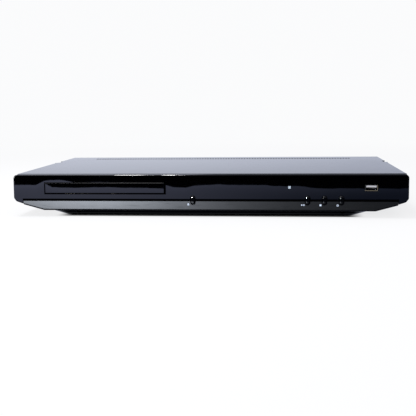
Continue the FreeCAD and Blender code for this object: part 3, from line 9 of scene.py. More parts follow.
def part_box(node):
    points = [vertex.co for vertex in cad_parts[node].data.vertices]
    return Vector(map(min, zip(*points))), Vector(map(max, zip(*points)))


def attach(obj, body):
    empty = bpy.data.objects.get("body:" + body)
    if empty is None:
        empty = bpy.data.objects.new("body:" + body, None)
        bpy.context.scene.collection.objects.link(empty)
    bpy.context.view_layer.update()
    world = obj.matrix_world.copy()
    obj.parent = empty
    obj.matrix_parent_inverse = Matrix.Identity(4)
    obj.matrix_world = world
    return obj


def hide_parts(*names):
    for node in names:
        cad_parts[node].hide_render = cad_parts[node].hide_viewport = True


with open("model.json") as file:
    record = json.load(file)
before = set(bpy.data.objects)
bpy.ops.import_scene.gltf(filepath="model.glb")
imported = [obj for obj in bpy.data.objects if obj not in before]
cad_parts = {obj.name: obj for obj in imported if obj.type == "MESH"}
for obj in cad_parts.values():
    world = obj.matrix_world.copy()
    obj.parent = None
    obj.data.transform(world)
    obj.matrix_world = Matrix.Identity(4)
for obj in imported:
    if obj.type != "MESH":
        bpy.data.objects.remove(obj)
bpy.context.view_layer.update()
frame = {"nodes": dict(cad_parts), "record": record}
nodes = frame["nodes"]
mm = 0.001
print("frame loaded:", len(nodes), "nodes")


# Shader maths

class Link:  # a node's output socket, with the operators that the materials use
    def __init__(self, tree, socket):
        self.tree = tree
        self.socket = socket

    def calc(self, operation, *others):
        values = {0: self}
        values.update({index + 1: other for index, other in enumerate(others)})
        return self.tree.node("ShaderNodeMath", {"operation": operation}, values)

    def __add__(self, other):
        return self.calc("ADD", other)

    def __radd__(self, other):
        return self.calc("ADD", other)

    def __sub__(self, other):
        return self.calc("SUBTRACT", other)

    def __rsub__(self, other):
        return self.tree.node("ShaderNodeMath", {"operation": "SUBTRACT"}, {0: other, 1: self})

    def __mul__(self, other):
        return self.calc("MULTIPLY", other)

    def __rmul__(self, other):
        return self.calc("MULTIPLY", other)

    def __truediv__(self, other):
        return self.calc("DIVIDE", other)

    def step(self, low, high):  # 0 below low, 1 above high, smooth between
        values = {"Value": self, "From Min": low, "From Max": high, "To Min": 0.0, "To Max": 1.0}
        return self.tree.node("ShaderNodeMapRange", {"interpolation_type": "SMOOTHSTEP"}, values)


class Tree:
    def __init__(self, nodeTree):
        self.nodeTree = nodeTree
        nodeTree.nodes.clear()

    def node(self, kind, settings=None, values=None, out=0):
        made = self.nodeTree.nodes.new(kind)
        for name, setting in (settings or {}).items():
            if name == "stops":
                elements = made.color_ramp.elements
                while len(elements) < len(setting):
                    elements.new(0.5)
                for element, (place, colour) in zip(elements, setting):
                    element.position = place
                    element.color = colour
            else:
                setattr(made, name, setting)
        for name, value in (values or {}).items():
            socket = made.inputs[name]
            if isinstance(value, Link):
                self.nodeTree.links.new(value.socket, socket)
            else:
                socket.default_value = value
        return Link(self, made.outputs[out] if made.outputs else None)

    def place(self):  # metres in the row frame, the same on every piece
        return self.node("ShaderNodeTexCoord", out="Object")

    def axis(self, name):  # one coordinate of the place
        return self.node("ShaderNodeSeparateXYZ", {}, {0: self.place()}, out=name)

    def ray(self, name):  # 1 for light that is followed as this kind of ray
        return self.node("ShaderNodeLightPath", out="Is %s Ray" % name)

    def stretch(self, scale):
        return self.node("ShaderNodeMapping", {}, {"Vector": self.place(), "Scale": scale})

    def noise(self, vector, scale, detail=2.0, rough=0.5):
        values = {"Vector": vector, "Scale": scale, "Detail": detail, "Roughness": rough}
        return self.node("ShaderNodeTexNoise", {}, values)

    def cells(self, vector, scale, feature="F1", out="Distance"):
        return self.node("ShaderNodeTexVoronoi", {"feature": feature}, {"Vector": vector, "Scale": scale},
                         out)

    def blend(self, factor, first, second):
        return self.node("ShaderNodeMix", {"data_type": "RGBA"}, {0: factor, 6: first, 7: second}, out=2)

    def bump(self, height, distance, strength=1.0, under=None):
        values = {"Height": height, "Distance": distance, "Strength": strength}
        if under is not None:
            values["Normal"] = under
        return self.node("ShaderNodeBump", {}, values)

    def principled(self, **values):
        named = {name.replace("_", " "): value for name, value in values.items()}
        return self.node("ShaderNodeBsdfPrincipled", {}, named)

    def finish(self, **values):
        self.node("ShaderNodeOutputMaterial", {}, {"Surface": self.principled(**values)})


def newMaterial(name):
    material = bpy.data.materials.new(name)
    material.use_nodes = True
    return material, Tree(material.node_tree)


def colour(red, green, blue):
    return (red, green, blue, 1.0)


# Finishes

# The leans are pairs: how far along the front from its left end, and how much it leans there.
glossMoulding = {
    "base": (0.0002, 0.0002, 0.0004), "roughness": 0.012, "waveScale": 32.0, "waveHeight": 0.00003,
    "hazeScale": 60.0, "hazeFrom": (0.45, 0.8), "specks": 0.008,
    "dustScale": 900.0, "dustFrom": (0.06, 0.02), "dustTint": (0.008, 0.0085, 0.01),
    "half": 0.216, "middle": 0.0365, "steepest": 0.0073, "touched": (0.0184, 0.0174),
    "topFace": (0.0461, 0.0465), "topFrom": 0.1187, "topFall": 0.04, "rightFall": 0.1,
    "rightFrom": (-0.03, 0.05),
    "leans": ((0.0, 0.5), (0.061, 0.52), (0.084, 1.09), (0.1, 1.17), (0.135, 1.11), (0.16, 0.85),
              (0.385, 0.82), (0.4, 0.5), (0.42, 0.27), (0.45, 0.26), (0.475, 0.49), (0.535, 0.63),
              (0.56, 0.54), (0.65, 0.52), (0.68, 0.42), (0.73, 0.42), (0.78, 0.17), (0.83, 0.1),
              (0.86, 0.2), (0.91, 0.18), (1.0, 0.16)),
}
doorLeans = ((0.0, 0.5), (0.088, 0.7), (0.105, 0.27), (0.15, 0.2), (0.3, 0.22), (0.39, 0.1), (1.0, 0.1))
evenLeans = ((0.0, 0.5), (1.0, 0.5))


# The moulding is not quite flat: its lean changes slowly from end to end, with small ripples.
def makeGlossMoulding(name="glossMoulding", tint=1.0, leans=glossMoulding["leans"], lowRough=0.0):
    material, tree = newMaterial(name)
    values = glossMoulding
    x, y, z = (tree.axis(name) for name in "XYZ")
    stops = [(spot, colour(lean, lean, lean)) for spot, lean in leans]
    along = (x + values["half"]) / (2 * values["half"])
    lean = tree.node("ShaderNodeValToRGB", {"stops": stops}, {"Fac": along}, out="Color")
    lean = (lean - 0.5) * values["steepest"]
    waves = tree.noise(tree.stretch((1.0, 1.0, 0.6)), values["waveScale"], 2.0, 0.4)
    shape = waves * values["waveHeight"] + (z - values["middle"]) * lean
    # The narrow top face falls a little towards the front, more so on the right.
    fall = x.step(*values["rightFrom"]) * values["rightFall"] + values["topFall"]
    shape = shape + (y + values["topFrom"]) * (fall * z.step(*values["topFace"]))
    haze = tree.noise(tree.place(), values["hazeScale"], 4.0, 0.6).step(*values["hazeFrom"])
    dust = tree.cells(tree.place(), values["dustScale"]).step(*values["dustFrom"])
    base = tuple(channel * tint for channel in values["base"])
    worn = z.step(*values["touched"]) * lowRough
    tree.finish(
        Base_Color=tree.blend(dust * 0.35, colour(*base), colour(*values["dustTint"])),
        Roughness=values["roughness"] + haze * values["specks"] + dust * 0.05 + worn,
        Normal=tree.bump(shape, 1.0),
        IOR=1.52)
    return material


coverPaint = {"base": (0.004, 0.0042, 0.0052), "roughness": 0.07, "peelScale": 900.0,
              "peelHeight": 0.0000015, "rolledScale": 22.0, "rolledHeight": 0.00002, "handledScale": 9.0,
              "fleckScale": 1400.0, "fleckTint": 6}


def makeCoverPaint(name="coverPaint", shade=1.0):
    material, tree = newMaterial(name)
    base = tuple(channel * shade for channel in coverPaint["base"])
    peel = tree.noise(tree.place(), coverPaint["peelScale"], 2.0, 0.5)
    rolled = tree.noise(tree.stretch((1.0, 0.12, 1.0)), coverPaint["rolledScale"], 3.0, 0.55)
    handled = tree.noise(tree.place(), coverPaint["handledScale"], 5.0, 0.6).step(0.4, 0.75)
    flecks = tree.cells(tree.place(), coverPaint["fleckScale"]).step(0.05, 0.015)
    dented = tree.bump(rolled, coverPaint["rolledHeight"])
    lighter = colour(*(channel * coverPaint["fleckTint"] for channel in base))
    tree.finish(
        Base_Color=tree.blend(flecks * 0.3, colour(*base), lighter),
        Roughness=coverPaint["roughness"] + handled * 0.03 + flecks * 0.1,
        Normal=tree.bump(peel, coverPaint["peelHeight"], 1.0, dented),
        IOR=1.5)
    return material


satinMoulding = {"base": (0.0028, 0.003, 0.0036), "paler": (0.0042, 0.0045, 0.0052), "roughness": 0.2,
                 "grainScale": 2600.0, "grainHeight": 0.000004, "broadScale": 35.0, "rubbedScale": 180.0,
                 "paintedShadeFrom": (0.01745, 0.01775), "paintedShade": (0.0012, 0.0012, 0.0014),
                 "paintedShadePaler": (0.002, 0.002, 0.0024)}


def makeSatinMoulding():
    material, tree = newMaterial("satinMoulding")
    values = satinMoulding
    grain = tree.cells(tree.place(), values["grainScale"], "SMOOTH_F1")
    broad = tree.noise(tree.place(), values["broadScale"], 4.0, 0.55)
    rubbed = tree.noise(tree.stretch((0.3, 1.0, 2.0)), values["rubbedScale"], 3.0, 0.5).step(0.5, 0.85)
    grained = tree.bump(grain, values["grainHeight"], 0.6)
    satin = tree.principled(
        Base_Color=tree.blend(broad, colour(*values["base"]), colour(*values["paler"])),
        Roughness=values["roughness"] + broad * 0.02 - rubbed * 0.02,
        Normal=grained,
        IOR=1.5)
    # Behind the gloss front, above the strip, the moulding gets a painted shade: near-black, matt and without
    # shine.
    paintedShade = tree.principled(
        Base_Color=tree.blend(broad, colour(*values["paintedShade"]), colour(*values["paintedShadePaler"])),
        Roughness=0.9 + broad * 0.05,
        Normal=grained,
        IOR=1.02)
    above = tree.axis("Z").step(*values["paintedShadeFrom"])
    both = tree.node("ShaderNodeMixShader", {}, {0: above, 1: satin, 2: paintedShade})
    tree.node("ShaderNodeOutputMaterial", {}, {"Surface": both})
    return material


plating = {"crystalScale": 240.0, "lineScale": 160.0, "lineHeight": 0.000006, "stretched": (1.0, 14.0, 14.0),
           "darker": 0.62}


def makePlated(name, base, roughness, spangle):
    material, tree = newMaterial(name)
    crystal = tree.cells(tree.place(), plating["crystalScale"], "F1", "Color")
    tone = tree.node("ShaderNodeSeparateColor", {}, {"Color": crystal}, out="Red")
    lines = tree.noise(tree.stretch(plating["stretched"]), plating["lineScale"], 3.0, 0.6)
    darker = tuple(channel * plating["darker"] for channel in base)
    tree.finish(
        Base_Color=tree.blend(tone * spangle + lines * 0.25, colour(*base), colour(*darker)),
        Metallic=1.0,
        Roughness=roughness + tone * 0.5 * spangle * roughness + lines * 0.06,
        Normal=tree.bump(lines, plating["lineHeight"], 0.5))
    return material


usbPort = {"rim": (0.03, 0.03, 0.028), "paintedHighlight": (0.15, 0.125, 0.085), "paintedShadeInside": (0.004, 0.004, 0.005),
           "paintedHighlightHigh": (0.001, 0.0005), "paintedHighlightWide": (0.0009, 0.0004), "rimDeep": (0.0003, 0.0011),
           "tongue": (0.6, 0.61, 0.66), "shade": (0.05, 0.05, 0.055), "shadeHigh": 0.55,
           "shadeFrom": (-0.0002, 0.0001), "poreScale": 2400.0}


# The port's shell: kept dark at the rim as painted shade, with a warmer painted highlight on its lower and
# right lips, and near-black inside as painted shade.
def makePortSteel():
    material, tree = newMaterial("portSteel")
    low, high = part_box("usb_shell")
    x, y, z = (tree.axis(name) for name in "XYZ")
    lines = tree.noise(tree.stretch(plating["stretched"]), plating["lineScale"], 3.0, 0.6)
    lower = z.step(*(low.z + above for above in usbPort["paintedHighlightHigh"]))
    right = x.step(*(high.x - inwards for inwards in usbPort["paintedHighlightWide"]))
    shadeDeeper = y.step(*(low.y + behind for behind in usbPort["rimDeep"]))
    rim = tree.blend(lower.calc("MAXIMUM", right), colour(*usbPort["rim"]), colour(*usbPort["paintedHighlight"]))
    tree.finish(
        Base_Color=tree.blend(shadeDeeper, rim, colour(*usbPort["paintedShadeInside"])),
        Metallic=1.0,
        Roughness=0.3 + lines * 0.08,
        Normal=tree.bump(lines, plating["lineHeight"], 0.5))
    return material


def makePortTongue():  # lit on its upper part, in the shell's shade below
    material, tree = newMaterial("portTongue")
    low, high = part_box("usb_tongue")
    pores = tree.noise(tree.place(), usbPort["poreScale"], 2.0, 0.6)
    middle = low.z * (1.0 - usbPort["shadeHigh"]) + high.z * usbPort["shadeHigh"]
    lit = tree.axis("Z").step(*(middle + above for above in usbPort["shadeFrom"]))
    tree.finish(
        Base_Color=tree.blend(lit, colour(*usbPort["shade"]), colour(*usbPort["tongue"])),
        Roughness=0.4 + pores * 0.05,
        Normal=tree.bump(pores, 0.000004, 0.6),
        IOR=1.49)
    return material


moulded = {"flowScale": 30.0, "scuffScale": 420.0, "scuffFrom": (0.6, 0.8), "darker": 0.75}


def makeMoulded(name, base, roughness=0.45, grain=1500.0, height=0.00001, mottled=0.3):
    material, tree = newMaterial(name)
    pores = tree.cells(tree.place(), grain, "SMOOTH_F1")
    flow = tree.noise(tree.stretch((1.0, 0.4, 1.0)), moulded["flowScale"], 4.0, 0.55)
    scuffs = tree.noise(tree.place(), moulded["scuffScale"], 3.0, 0.6).step(*moulded["scuffFrom"])
    darker = tuple(channel * moulded["darker"] for channel in base)
    tree.finish(
        Base_Color=tree.blend(flow * mottled + scuffs * 0.1, colour(*base), colour(*darker)),
        Roughness=roughness + flow * 0.06 - scuffs * 0.08,
        Normal=tree.bump(pores, height, 0.6),
        IOR=1.49)
    return material


# Each insert's colour and its darker streaks, from the left seen from the front, with where the next starts.
jackInserts = {"red": ((0.5, 0.02, 0.015), (0.38, 0.015, 0.012)),
               "white": ((0.75, 0.73, 0.66), (0.6, 0.58, 0.52)),
               "yellow": ((0.75, 0.52, 0.03), (0.6, 0.4, 0.02)),
               "whiteFrom": (0.32, 0.34), "yellowFrom": (0.66, 0.68), "poreScale": 2000.0, "flowScale": 90.0}


def makeInserts():
    material, tree = newMaterial("jackInsert")
    low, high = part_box("av_jack_inserts")
    along = (tree.axis("X") - low.x) / (high.x - low.x)
    pores = tree.cells(tree.place(), jackInserts["poreScale"], "SMOOTH_F1")
    flow = tree.noise(tree.place(), jackInserts["flowScale"], 4.0, 0.55)
    red, white, yellow = (
        tree.blend(flow * 0.3, colour(*jackInserts[name][0]), colour(*jackInserts[name][1]))
        for name in ("red", "white", "yellow"))
    tint = tree.blend(along.step(*jackInserts["whiteFrom"]), red, white)
    tree.finish(
        Base_Color=tree.blend(along.step(*jackInserts["yellowFrom"]), tint, yellow),
        Roughness=0.38 + flow * 0.06,
        Normal=tree.bump(pores, 0.000008, 0.6),
        IOR=1.49)
    return material


rubber = {"poreScale": 1800.0, "poreHeight": 0.00004, "wornScale": 120.0, "wornFrom": (0.55, 0.8),
          "wornTint": (0.06, 0.058, 0.055)}


def makeRubber(name, base, roughness=0.75):
    material, tree = newMaterial(name)
    pores = tree.noise(tree.place(), rubber["poreScale"], 4.0, 0.7)
    worn = tree.noise(tree.place(), rubber["wornScale"], 3.0, 0.6).step(*rubber["wornFrom"])
    tree.finish(
        Base_Color=tree.blend(worn * 0.5, colour(*base), colour(*rubber["wornTint"])),
        Roughness=roughness - worn * 0.12,
        Normal=tree.bump(pores, rubber["poreHeight"], 0.7),
        IOR=1.45)
    return material


boardLacquer = {"base": (0.012, 0.075, 0.032), "track": (0.03, 0.17, 0.07), "pad": (0.62, 0.6, 0.55),
                "trackScale": 330.0, "padScale": 260.0, "weaveScale": 2600.0, "copperHeight": 0.00003,
                "weaveHeight": 0.000004}


def makeBoardLacquer():
    material, tree = newMaterial("boardLacquer")
    spot = tree.place()
    runs = tree.cells(spot, boardLacquer["trackScale"], "DISTANCE_TO_EDGE").step(0.06, 0.03)
    pads = tree.cells(spot, boardLacquer["padScale"]).step(0.14, 0.11)
    green = tree.blend(runs, colour(*boardLacquer["base"]), colour(*boardLacquer["track"]))
    weave = tree.noise(spot, boardLacquer["weaveScale"], 1.0, 0.5)
    lifted = tree.bump(runs * 0.6 + pads, boardLacquer["copperHeight"])
    tree.finish(
        Base_Color=tree.blend(pads, green, colour(*boardLacquer["pad"])),
        Metallic=pads * 0.8,
        Roughness=0.28 + weave * 0.1,
        Normal=tree.bump(weave, boardLacquer["weaveHeight"], 0.4, lifted))
    return material


glassy = {"swirlScale": 700.0, "swirlHeight": 0.000003, "darker": 0.8, "paleGlow": (0.75, 0.85, 1.0)}


def makeGlassy(name, base, roughness, glow=None):
    material, tree = newMaterial(name)
    swirl = tree.noise(tree.place(), glassy["swirlScale"], 3.0, 0.5)
    darker = tuple(channel * glassy["darker"] for channel in base)
    values = {"Base_Color": tree.blend(swirl * 0.3, colour(*base), colour(*darker)),
              "Roughness": roughness + swirl * 0.05,
              "Normal": tree.bump(swirl, glassy["swirlHeight"], 0.4), "IOR": 1.5}
    if glow:
        values["Emission_Color"] = tree.blend(swirl * 0.3, colour(*glow["tint"]), colour(*glassy["paleGlow"]))
        values["Emission_Strength"] = glow["strength"]
    tree.finish(**values)
    return material


winding = {"tape": (0.72, 0.5, 0.06), "darker": (0.4, 0.26, 0.03), "wrapScale": 90.0, "wrapHeight": 0.00008,
           "wander": 1.2, "edgeScale": 300.0}


def makeWinding():
    material, tree = newMaterial("windingTape")
    spot = tree.place()
    wraps = tree.node("ShaderNodeTexWave", {"bands_direction": "Z"},
                      {"Vector": spot, "Scale": winding["wrapScale"], "Distortion": winding["wander"]})
    edge = tree.noise(spot, winding["edgeScale"], 3.0, 0.6)
    tree.finish(
        Base_Color=tree.blend(wraps * 0.4 + edge * 0.2, colour(*winding["tape"]), colour(*winding["darker"])),
        Roughness=0.4 + edge * 0.2,
        Normal=tree.bump(wraps, winding["wrapHeight"]))
    return material


film = {"base": (0.75, 0.76, 0.74), "darker": (0.5, 0.51, 0.5), "wireScale": 160.0, "wireHeight": 0.00005,
        "stainScale": 50.0}


def makeFilm():
    material, tree = newMaterial("cableFilm")
    wires = tree.node("ShaderNodeTexWave", {"bands_direction": "X"},
                      {"Vector": tree.place(), "Scale": film["wireScale"]})
    stain = tree.noise(tree.place(), film["stainScale"], 3.0, 0.6)
    tree.finish(
        Base_Color=tree.blend(wires * 0.5 + stain * 0.15, colour(*film["base"]), colour(*film["darker"])),
        Roughness=0.35 + stain * 0.1,
        Normal=tree.bump(wires, film["wireHeight"]))
    return material


finishes = {
    "cover_paint": makeCoverPaint(),
    # The chassis paint is ten times darker than the cover's: painted shade for the plinth in the shadow under
    # the strip's lip.
    "chassis_paint": makeCoverPaint("chassisPaint", 0.1),
    "gloss_black": makeGlossMoulding(),
    "satin_black": makeSatinMoulding(),
    "button_black": makeGlossMoulding("buttonMoulding", 1.4, evenLeans, 0.17),
    "door_gloss": makeGlossMoulding("doorMoulding", 1.0, doorLeans),
    "window_clear": makeGlassy("windowMoulding", (0.5, 0.6, 0.7), 0.2,
                               {"tint": (0.55, 0.7, 1.0), "strength": 0.04}),
    "inner_black": makeMoulded("innerMoulding", (0.012, 0.012, 0.013), 0.5, 1100.0, 0.00002),
    "gear_white": makeMoulded("gearAcetal", (0.7, 0.68, 0.62), 0.35, 2000.0, 0.000005),
    "socket_black": makeMoulded("socketMoulding", (0.01, 0.01, 0.01), 0.42),
    "zinc_steel": makePlated("zincSteel", (0.55, 0.56, 0.58), 0.3, 0.5),
    "shell_steel": makePlated("brightSteel", (0.72, 0.72, 0.74), 0.16, 0.15),
    "usb_steel": makePortSteel(),
    "usb_white": makePortTongue(),
    "screw_black": makePlated("blackZinc", (0.06, 0.06, 0.065), 0.34, 0.3),
    "foot_rubber": makeRubber("footRubber", (0.012, 0.012, 0.012)),
    "belt_rubber": makeRubber("beltRubber", (0.016, 0.015, 0.015), 0.6),
    "board_green": makeBoardLacquer(),
    "chip_black": makeMoulded("chipPackage", (0.012, 0.012, 0.013), 0.55, 3000.0, 0.000008),
    "tongue_white": makeMoulded("socketTongue", (0.8, 0.82, 0.86), 0.4, 2400.0, 0.000004, 0.1),
    "contact_gold": makePlated("contactGold", (0.85, 0.55, 0.22), 0.22, 0.2),
    "lens_glass": makeGlassy("lensGlass", (0.25, 0.3, 0.55), 0.03),
    "sink_aluminium": makePlated("sinkAluminium", (0.68, 0.69, 0.7), 0.35, 0.3),
    "tape_yellow": makeWinding(),
    "can_black": makeMoulded("canSleeve", (0.012, 0.014, 0.03), 0.22, 700.0, 0.000004),
    "jack_metal": makePlated("nickelBarrel", (0.7, 0.67, 0.6), 0.2, 0.1),
    "jack_white": makeInserts(),
    "ribbon_white": makeFilm(),
    "receiver_dark": makeGlassy("receiverResin", (0.02, 0.008, 0.01), 0.1),
    "led_blue": makeGlassy("indicatorResin", (0.5, 0.6, 0.8), 0.12,
                           {"tint": (0.4, 0.6, 1.0), "strength": 0.8}),
}
slotOf = {part["node"]: part["material_slot"] for part in frame["record"]["subparts"]}
slotOf["tray_door"] = "door_gloss"
slotOf["usb_shell"] = "usb_steel"
slotOf["usb_tongue"] = "usb_white"
for name, piece in nodes.items():
    if not piece.material_slots:
        piece.data.materials.append(finishes[slotOf[name]])
    for slot in piece.material_slots:
        slot.material = finishes[slotOf[name]]
print("finishes:", len(finishes))


# Mesh helpers

def newPiece(name, mesh, material, body):
    piece = bpy.data.objects.new(name, mesh)
    bpy.context.scene.collection.objects.link(piece)
    mesh.materials.append(material)
    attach(piece, body)
    return piece


def prism(shape, outline, depth, thick):  # an upright flat outline of x and z, grown to the rear
    front = [shape.verts.new((x * mm, depth, z * mm)) for x, z in outline]
    back = [shape.verts.new((x * mm, depth + thick, z * mm)) for x, z in outline]
    shape.faces.new(front)
    shape.faces.new(back[::-1])
    count = len(outline)
    for index in range(count):
        following = (index + 1) % count
        shape.faces.new((front[following], front[index], back[index], back[following]))


def arcPoints(centre, radius, start, end, steps):
    angles = [start + (end - start) * index / steps for index in range(steps + 1)]
    return [(centre[0] + radius * math.cos(angle), centre[1] + radius * math.sin(angle)) for angle in angles]


def lathe(shape, origin, axis, profile, steps):  # each stop of the profile: distance along the axis, radius
    axis = axis.normalized()
    side = axis.orthogonal().normalized()
    other = axis.cross(side)
    rings = []
    for along, radius in profile:
        middle = origin + axis * along
        if radius < 1e-7:
            rings.append([shape.verts.new(middle)])
            continue
        turns = [2 * math.pi * index / steps for index in range(steps)]
        rings.append([
            shape.verts.new(middle + side * radius * math.cos(turn) + other * radius * math.sin(turn))
            for turn in turns])
    for first, second in zip(rings, rings[1:]):
        for index in range(steps):
            following = (index + 1) % steps
            if len(first) == 1:
                shape.faces.new((first[0], second[index], second[following]))
            elif len(second) == 1:
                shape.faces.new((first[following], first[index], second[0]))
            else:
                shape.faces.new((first[index], second[index], second[following], first[following]))


def closeMesh(shape, name, smooth=False):
    bmesh.ops.recalc_face_normals(shape, faces=shape.faces)
    mesh = bpy.data.meshes.new(name)
    shape.to_mesh(mesh)
    shape.free()
    for face in mesh.polygons:
        face.use_smooth = smooth
    return mesh


# Printed marks by the buttons

marks = {"ink": (0.6, 0.68, 0.8), "thinInk": (0.42, 0.5, 0.62), "glow": (0.55, 0.66, 0.85),
         "paintedGlowStrength": 0.6, "thinScale": 3500.0, "inkThick": 0.03 * mm, "lift": 0.01 * mm,
         "ringCentre": (141.7, 13.5), "ringRadii": (1.1, 0.7), "ringGap": math.radians(32),
         "ringSteps": 22}
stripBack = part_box("front_frame")[0].y
inkDepth = stripBack - marks["lift"] - marks["inkThick"] / 2


# The ink also glows: a painted highlight that makes the printed marks brighter than the lamps light them.
def makeInk():
    material, tree = newMaterial("whiteInk")
    thin = tree.noise(tree.place(), marks["thinScale"], 2.0, 0.6)
    tree.finish(
        Base_Color=tree.blend(thin * 0.35, colour(*marks["ink"]), colour(*marks["thinInk"])),
        Roughness=0.5 + thin * 0.1,
        Normal=tree.bump(thin, 0.000004, 0.5),
        Emission_Color=colour(*marks["glow"]),
        Emission_Strength=marks["paintedGlowStrength"])
    return material


def bar(left, right, low, high):
    return [(left, low), (right, low), (right, high), (left, high)]


# The outlines are in millimetres, across and up. makeMarks adds the power sign's broken ring.
markOutlines = {
    "ejectMark": [[(-20.2, 14.2), (-18.0, 14.2), (-19.1, 15.6)], bar(-20.2, -18.0, 13.3, 13.8)],
    "playMark": [[(103.2, 13.1), (104.8, 13.9), (103.2, 14.7)], bar(105.2, 105.7, 13.1, 14.7),
                 bar(106.1, 106.6, 13.1, 14.7)],
    "stopMark": [bar(122.7, 124.6, 12.8, 14.6)],
    "powerMark": [bar(141.5, 141.9, 13.6, 14.8)],
}


def makeMarks():
    ink = makeInk()
    start, end = math.pi / 2 + marks["ringGap"], 2.5 * math.pi - marks["ringGap"]
    outer, inner = marks["ringRadii"]
    ring = arcPoints(marks["ringCentre"], outer, start, end, marks["ringSteps"])
    ring += arcPoints(marks["ringCentre"], inner, end, start, marks["ringSteps"])
    markOutlines["powerMark"].append(ring)
    for name, outlines in markOutlines.items():
        shape = bmesh.new()
        for outline in outlines:
            prism(shape, outline, inkDepth, marks["inkThick"])
        newPiece(name, closeMesh(shape, name), ink, "case")


makeMarks()
print("marks made")


# Screws with cross recesses

screwShape = {"headRadius": 3.0, "headHigh": 1.6, "footRadius": 0.97, "rimHigh": 0.12, "domeStops": 6,
              "domeStart": 10, "domeTurn": 13, "domeFrom": 0.35, "domePower": 0.72, "shankRadius": 1.5,
              "rootRadius": 1.2, "tipRadius": 0.8, "pitch": 0.8, "threadFrom": 0.3, "threadTo": 0.6,
              "neck": 0.2, "recessHalf": 1.55, "recessWide": 0.34, "recessDeep": 1.05, "recessOver": 0.2,
              "recessFoot": 0.45, "steps": 28}


def screwMesh(shape, origin, axis, length):
    values = screwShape
    high, head, root = (values[name] * mm for name in ("headHigh", "headRadius", "rootRadius"))
    profile = [(-length * mm, 0.0), (-length * mm, root * values["tipRadius"])]
    station = -length + values["threadFrom"]
    while station < -values["threadTo"]:
        profile.append((station * mm, root))
        profile.append(((station + values["pitch"] * 0.5) * mm, values["shankRadius"] * mm))
        station += values["pitch"]
    profile.append((-values["neck"] * mm, root))
    profile.append((0.0, root))
    profile.append((0.0, head * values["footRadius"]))
    profile.append((values["rimHigh"] * mm, head))
    low = values["domeFrom"]
    for index in range(values["domeStops"]):
        turn = math.radians(values["domeStart"] + values["domeTurn"] * index)
        radius = head * math.cos(turn) ** values["domePower"]
        profile.append((high * (low + (1 - low) * math.sin(turn)), radius))
    profile.append((high, 0.0))
    lathe(shape, origin, axis, profile, values["steps"])


def crossMesh(shape, origin, axis):  # one plus outline, its arms shorter at the foot
    values = screwShape
    axis = axis.normalized()
    side = axis.orthogonal().normalized()
    levels = ((values["headHigh"] + values["recessOver"], 1.0),
              (values["headHigh"] - values["recessDeep"], values["recessFoot"]))
    half, wide = values["recessHalf"] * mm, values["recessWide"] * mm
    rings = []
    for high, shrink in levels:
        middle, along = origin + axis * high * mm, side
        ring = []
        for quarter in range(4):
            across = axis.cross(along)
            ring += [shape.verts.new(middle + along * reach + across * aside)
                     for reach, aside in ((half * shrink, -wide), (half * shrink, wide), (wide, wide))]
            along = across
        rings.append(ring)
    top, foot = rings
    shape.faces.new(top)
    shape.faces.new(foot[::-1])
    for index in range(len(top)):
        following = (index + 1) % len(top)
        shape.faces.new((top[following], top[index], foot[index], foot[following]))


def makeScrews(name, spots, length, body, slot):
    pieces = []
    for index, (origin, axis) in enumerate(spots):
        solid, cross = bmesh.new(), bmesh.new()
        screwMesh(solid, origin, axis, length)
        crossMesh(cross, origin, axis)
        label = "%s%d" % (name, index + 1)
        blank = bpy.data.objects.new(label, closeMesh(solid, label, True))
        cutter = bpy.data.objects.new(label + "Cutter", closeMesh(cross, label + "Cutter"))
        for made in (blank, cutter):
            bpy.context.scene.collection.objects.link(made)
        modifier = blank.modifiers.new("recess", "BOOLEAN")
        modifier.object = cutter
        modifier.operation = "DIFFERENCE"
        modifier.solver = "EXACT"
        bpy.context.view_layer.update()
        settled = bpy.data.meshes.new_from_object(blank.evaluated_get(bpy.context.evaluated_depsgraph_get()))
        bpy.data.objects.remove(cutter)
        bpy.data.objects.remove(blank)
        settled.name = label
        settled.materials.clear()
        pieces.append(newPiece(label, settled, finishes[slot], body))
    return pieces


# Where the heads rest, in millimetres: one on each side, and three in a row at the rear.
coverScrews = {"side": (210.4, 39.35, 41.0), "rear": (111.35, 41.6), "rearAcross": (-190, 0, 190),
               "length": 5.0}
x, y, z = (distance * mm for distance in coverScrews["side"])
screwSpots = [(Vector((side * x, y, z)), Vector((side, 0, 0))) for side in (-1, 1)]
y, z = (distance * mm for distance in coverScrews["rear"])
screwSpots += [(Vector((across * mm, y, z)), Vector((0, 1, 0))) for across in coverScrews["rearAcross"]]
caseScrews = makeScrews("caseScrew", screwSpots, coverScrews["length"], "case", "screw_black")
for screw in caseScrews:
    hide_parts("cover_screws")
print("screws made:", [len(screw.data.polygons) for screw in caseScrews], "faces")


# Floor, light and camera

# The foot values are the player's footprint in metres, where the floor's glow stops, leaving a painted shadow
# under the player.
stage = {
    "white": 0.975, "tint": (0.988, 0.992, 1.0), "frontEdge": -3.95, "farEdge": 5, "sideEdge": 6,
    "fade": (0.45, 1.3), "floorGlow": 0.8, "floorMatt": 0.26, "floorBounce": (0.8, 0.8, 0.81),
    "footHalf": 0.157, "footFront": -0.1107, "footRear": 0.11, "sideFade": (0.016, -0.004),
    "frontFade": (-0.002, 0.002), "rearFade": (0.008, -0.002), "mirrorFade": (-0.001, 0.001),
    "frontLeft": (1.0, 1.08, 1.55), "frontRight": (0.13, 0.17, 0.3), "acrossFrom": (-0.42, 0.3),
    "acrossBase": 0.05, "nearFall": 0.76, "nearReach": (0.4, 3.6), "paintedNearShadow": (0.02, 0.024, 0.04),
    "farReach": (0.3, 0.5),
    "backLeft": (0.98, 1.03, 1.2), "backRight": (0.7, 0.75, 0.92), "floorBackFrom": (-0.4, 0.5),
    "skyBackFrom": (-0.25, 0.35), "riseTo": 0.3, "riseMost": 0.9, "topSky": (0.1, 0.11, 0.13),
    "dark": (0.0002, 0.0002, 0.0004), "frontSky": (0.3, 0.32, 0.38), "frontRise": (0.16, 0.6),
    "turnsAt": (-0.1, 0.25), "fill": (0.5, 0.5, 0.515),
}
backdrop = colour(*(stage["white"] * channel for channel in stage["tint"]))


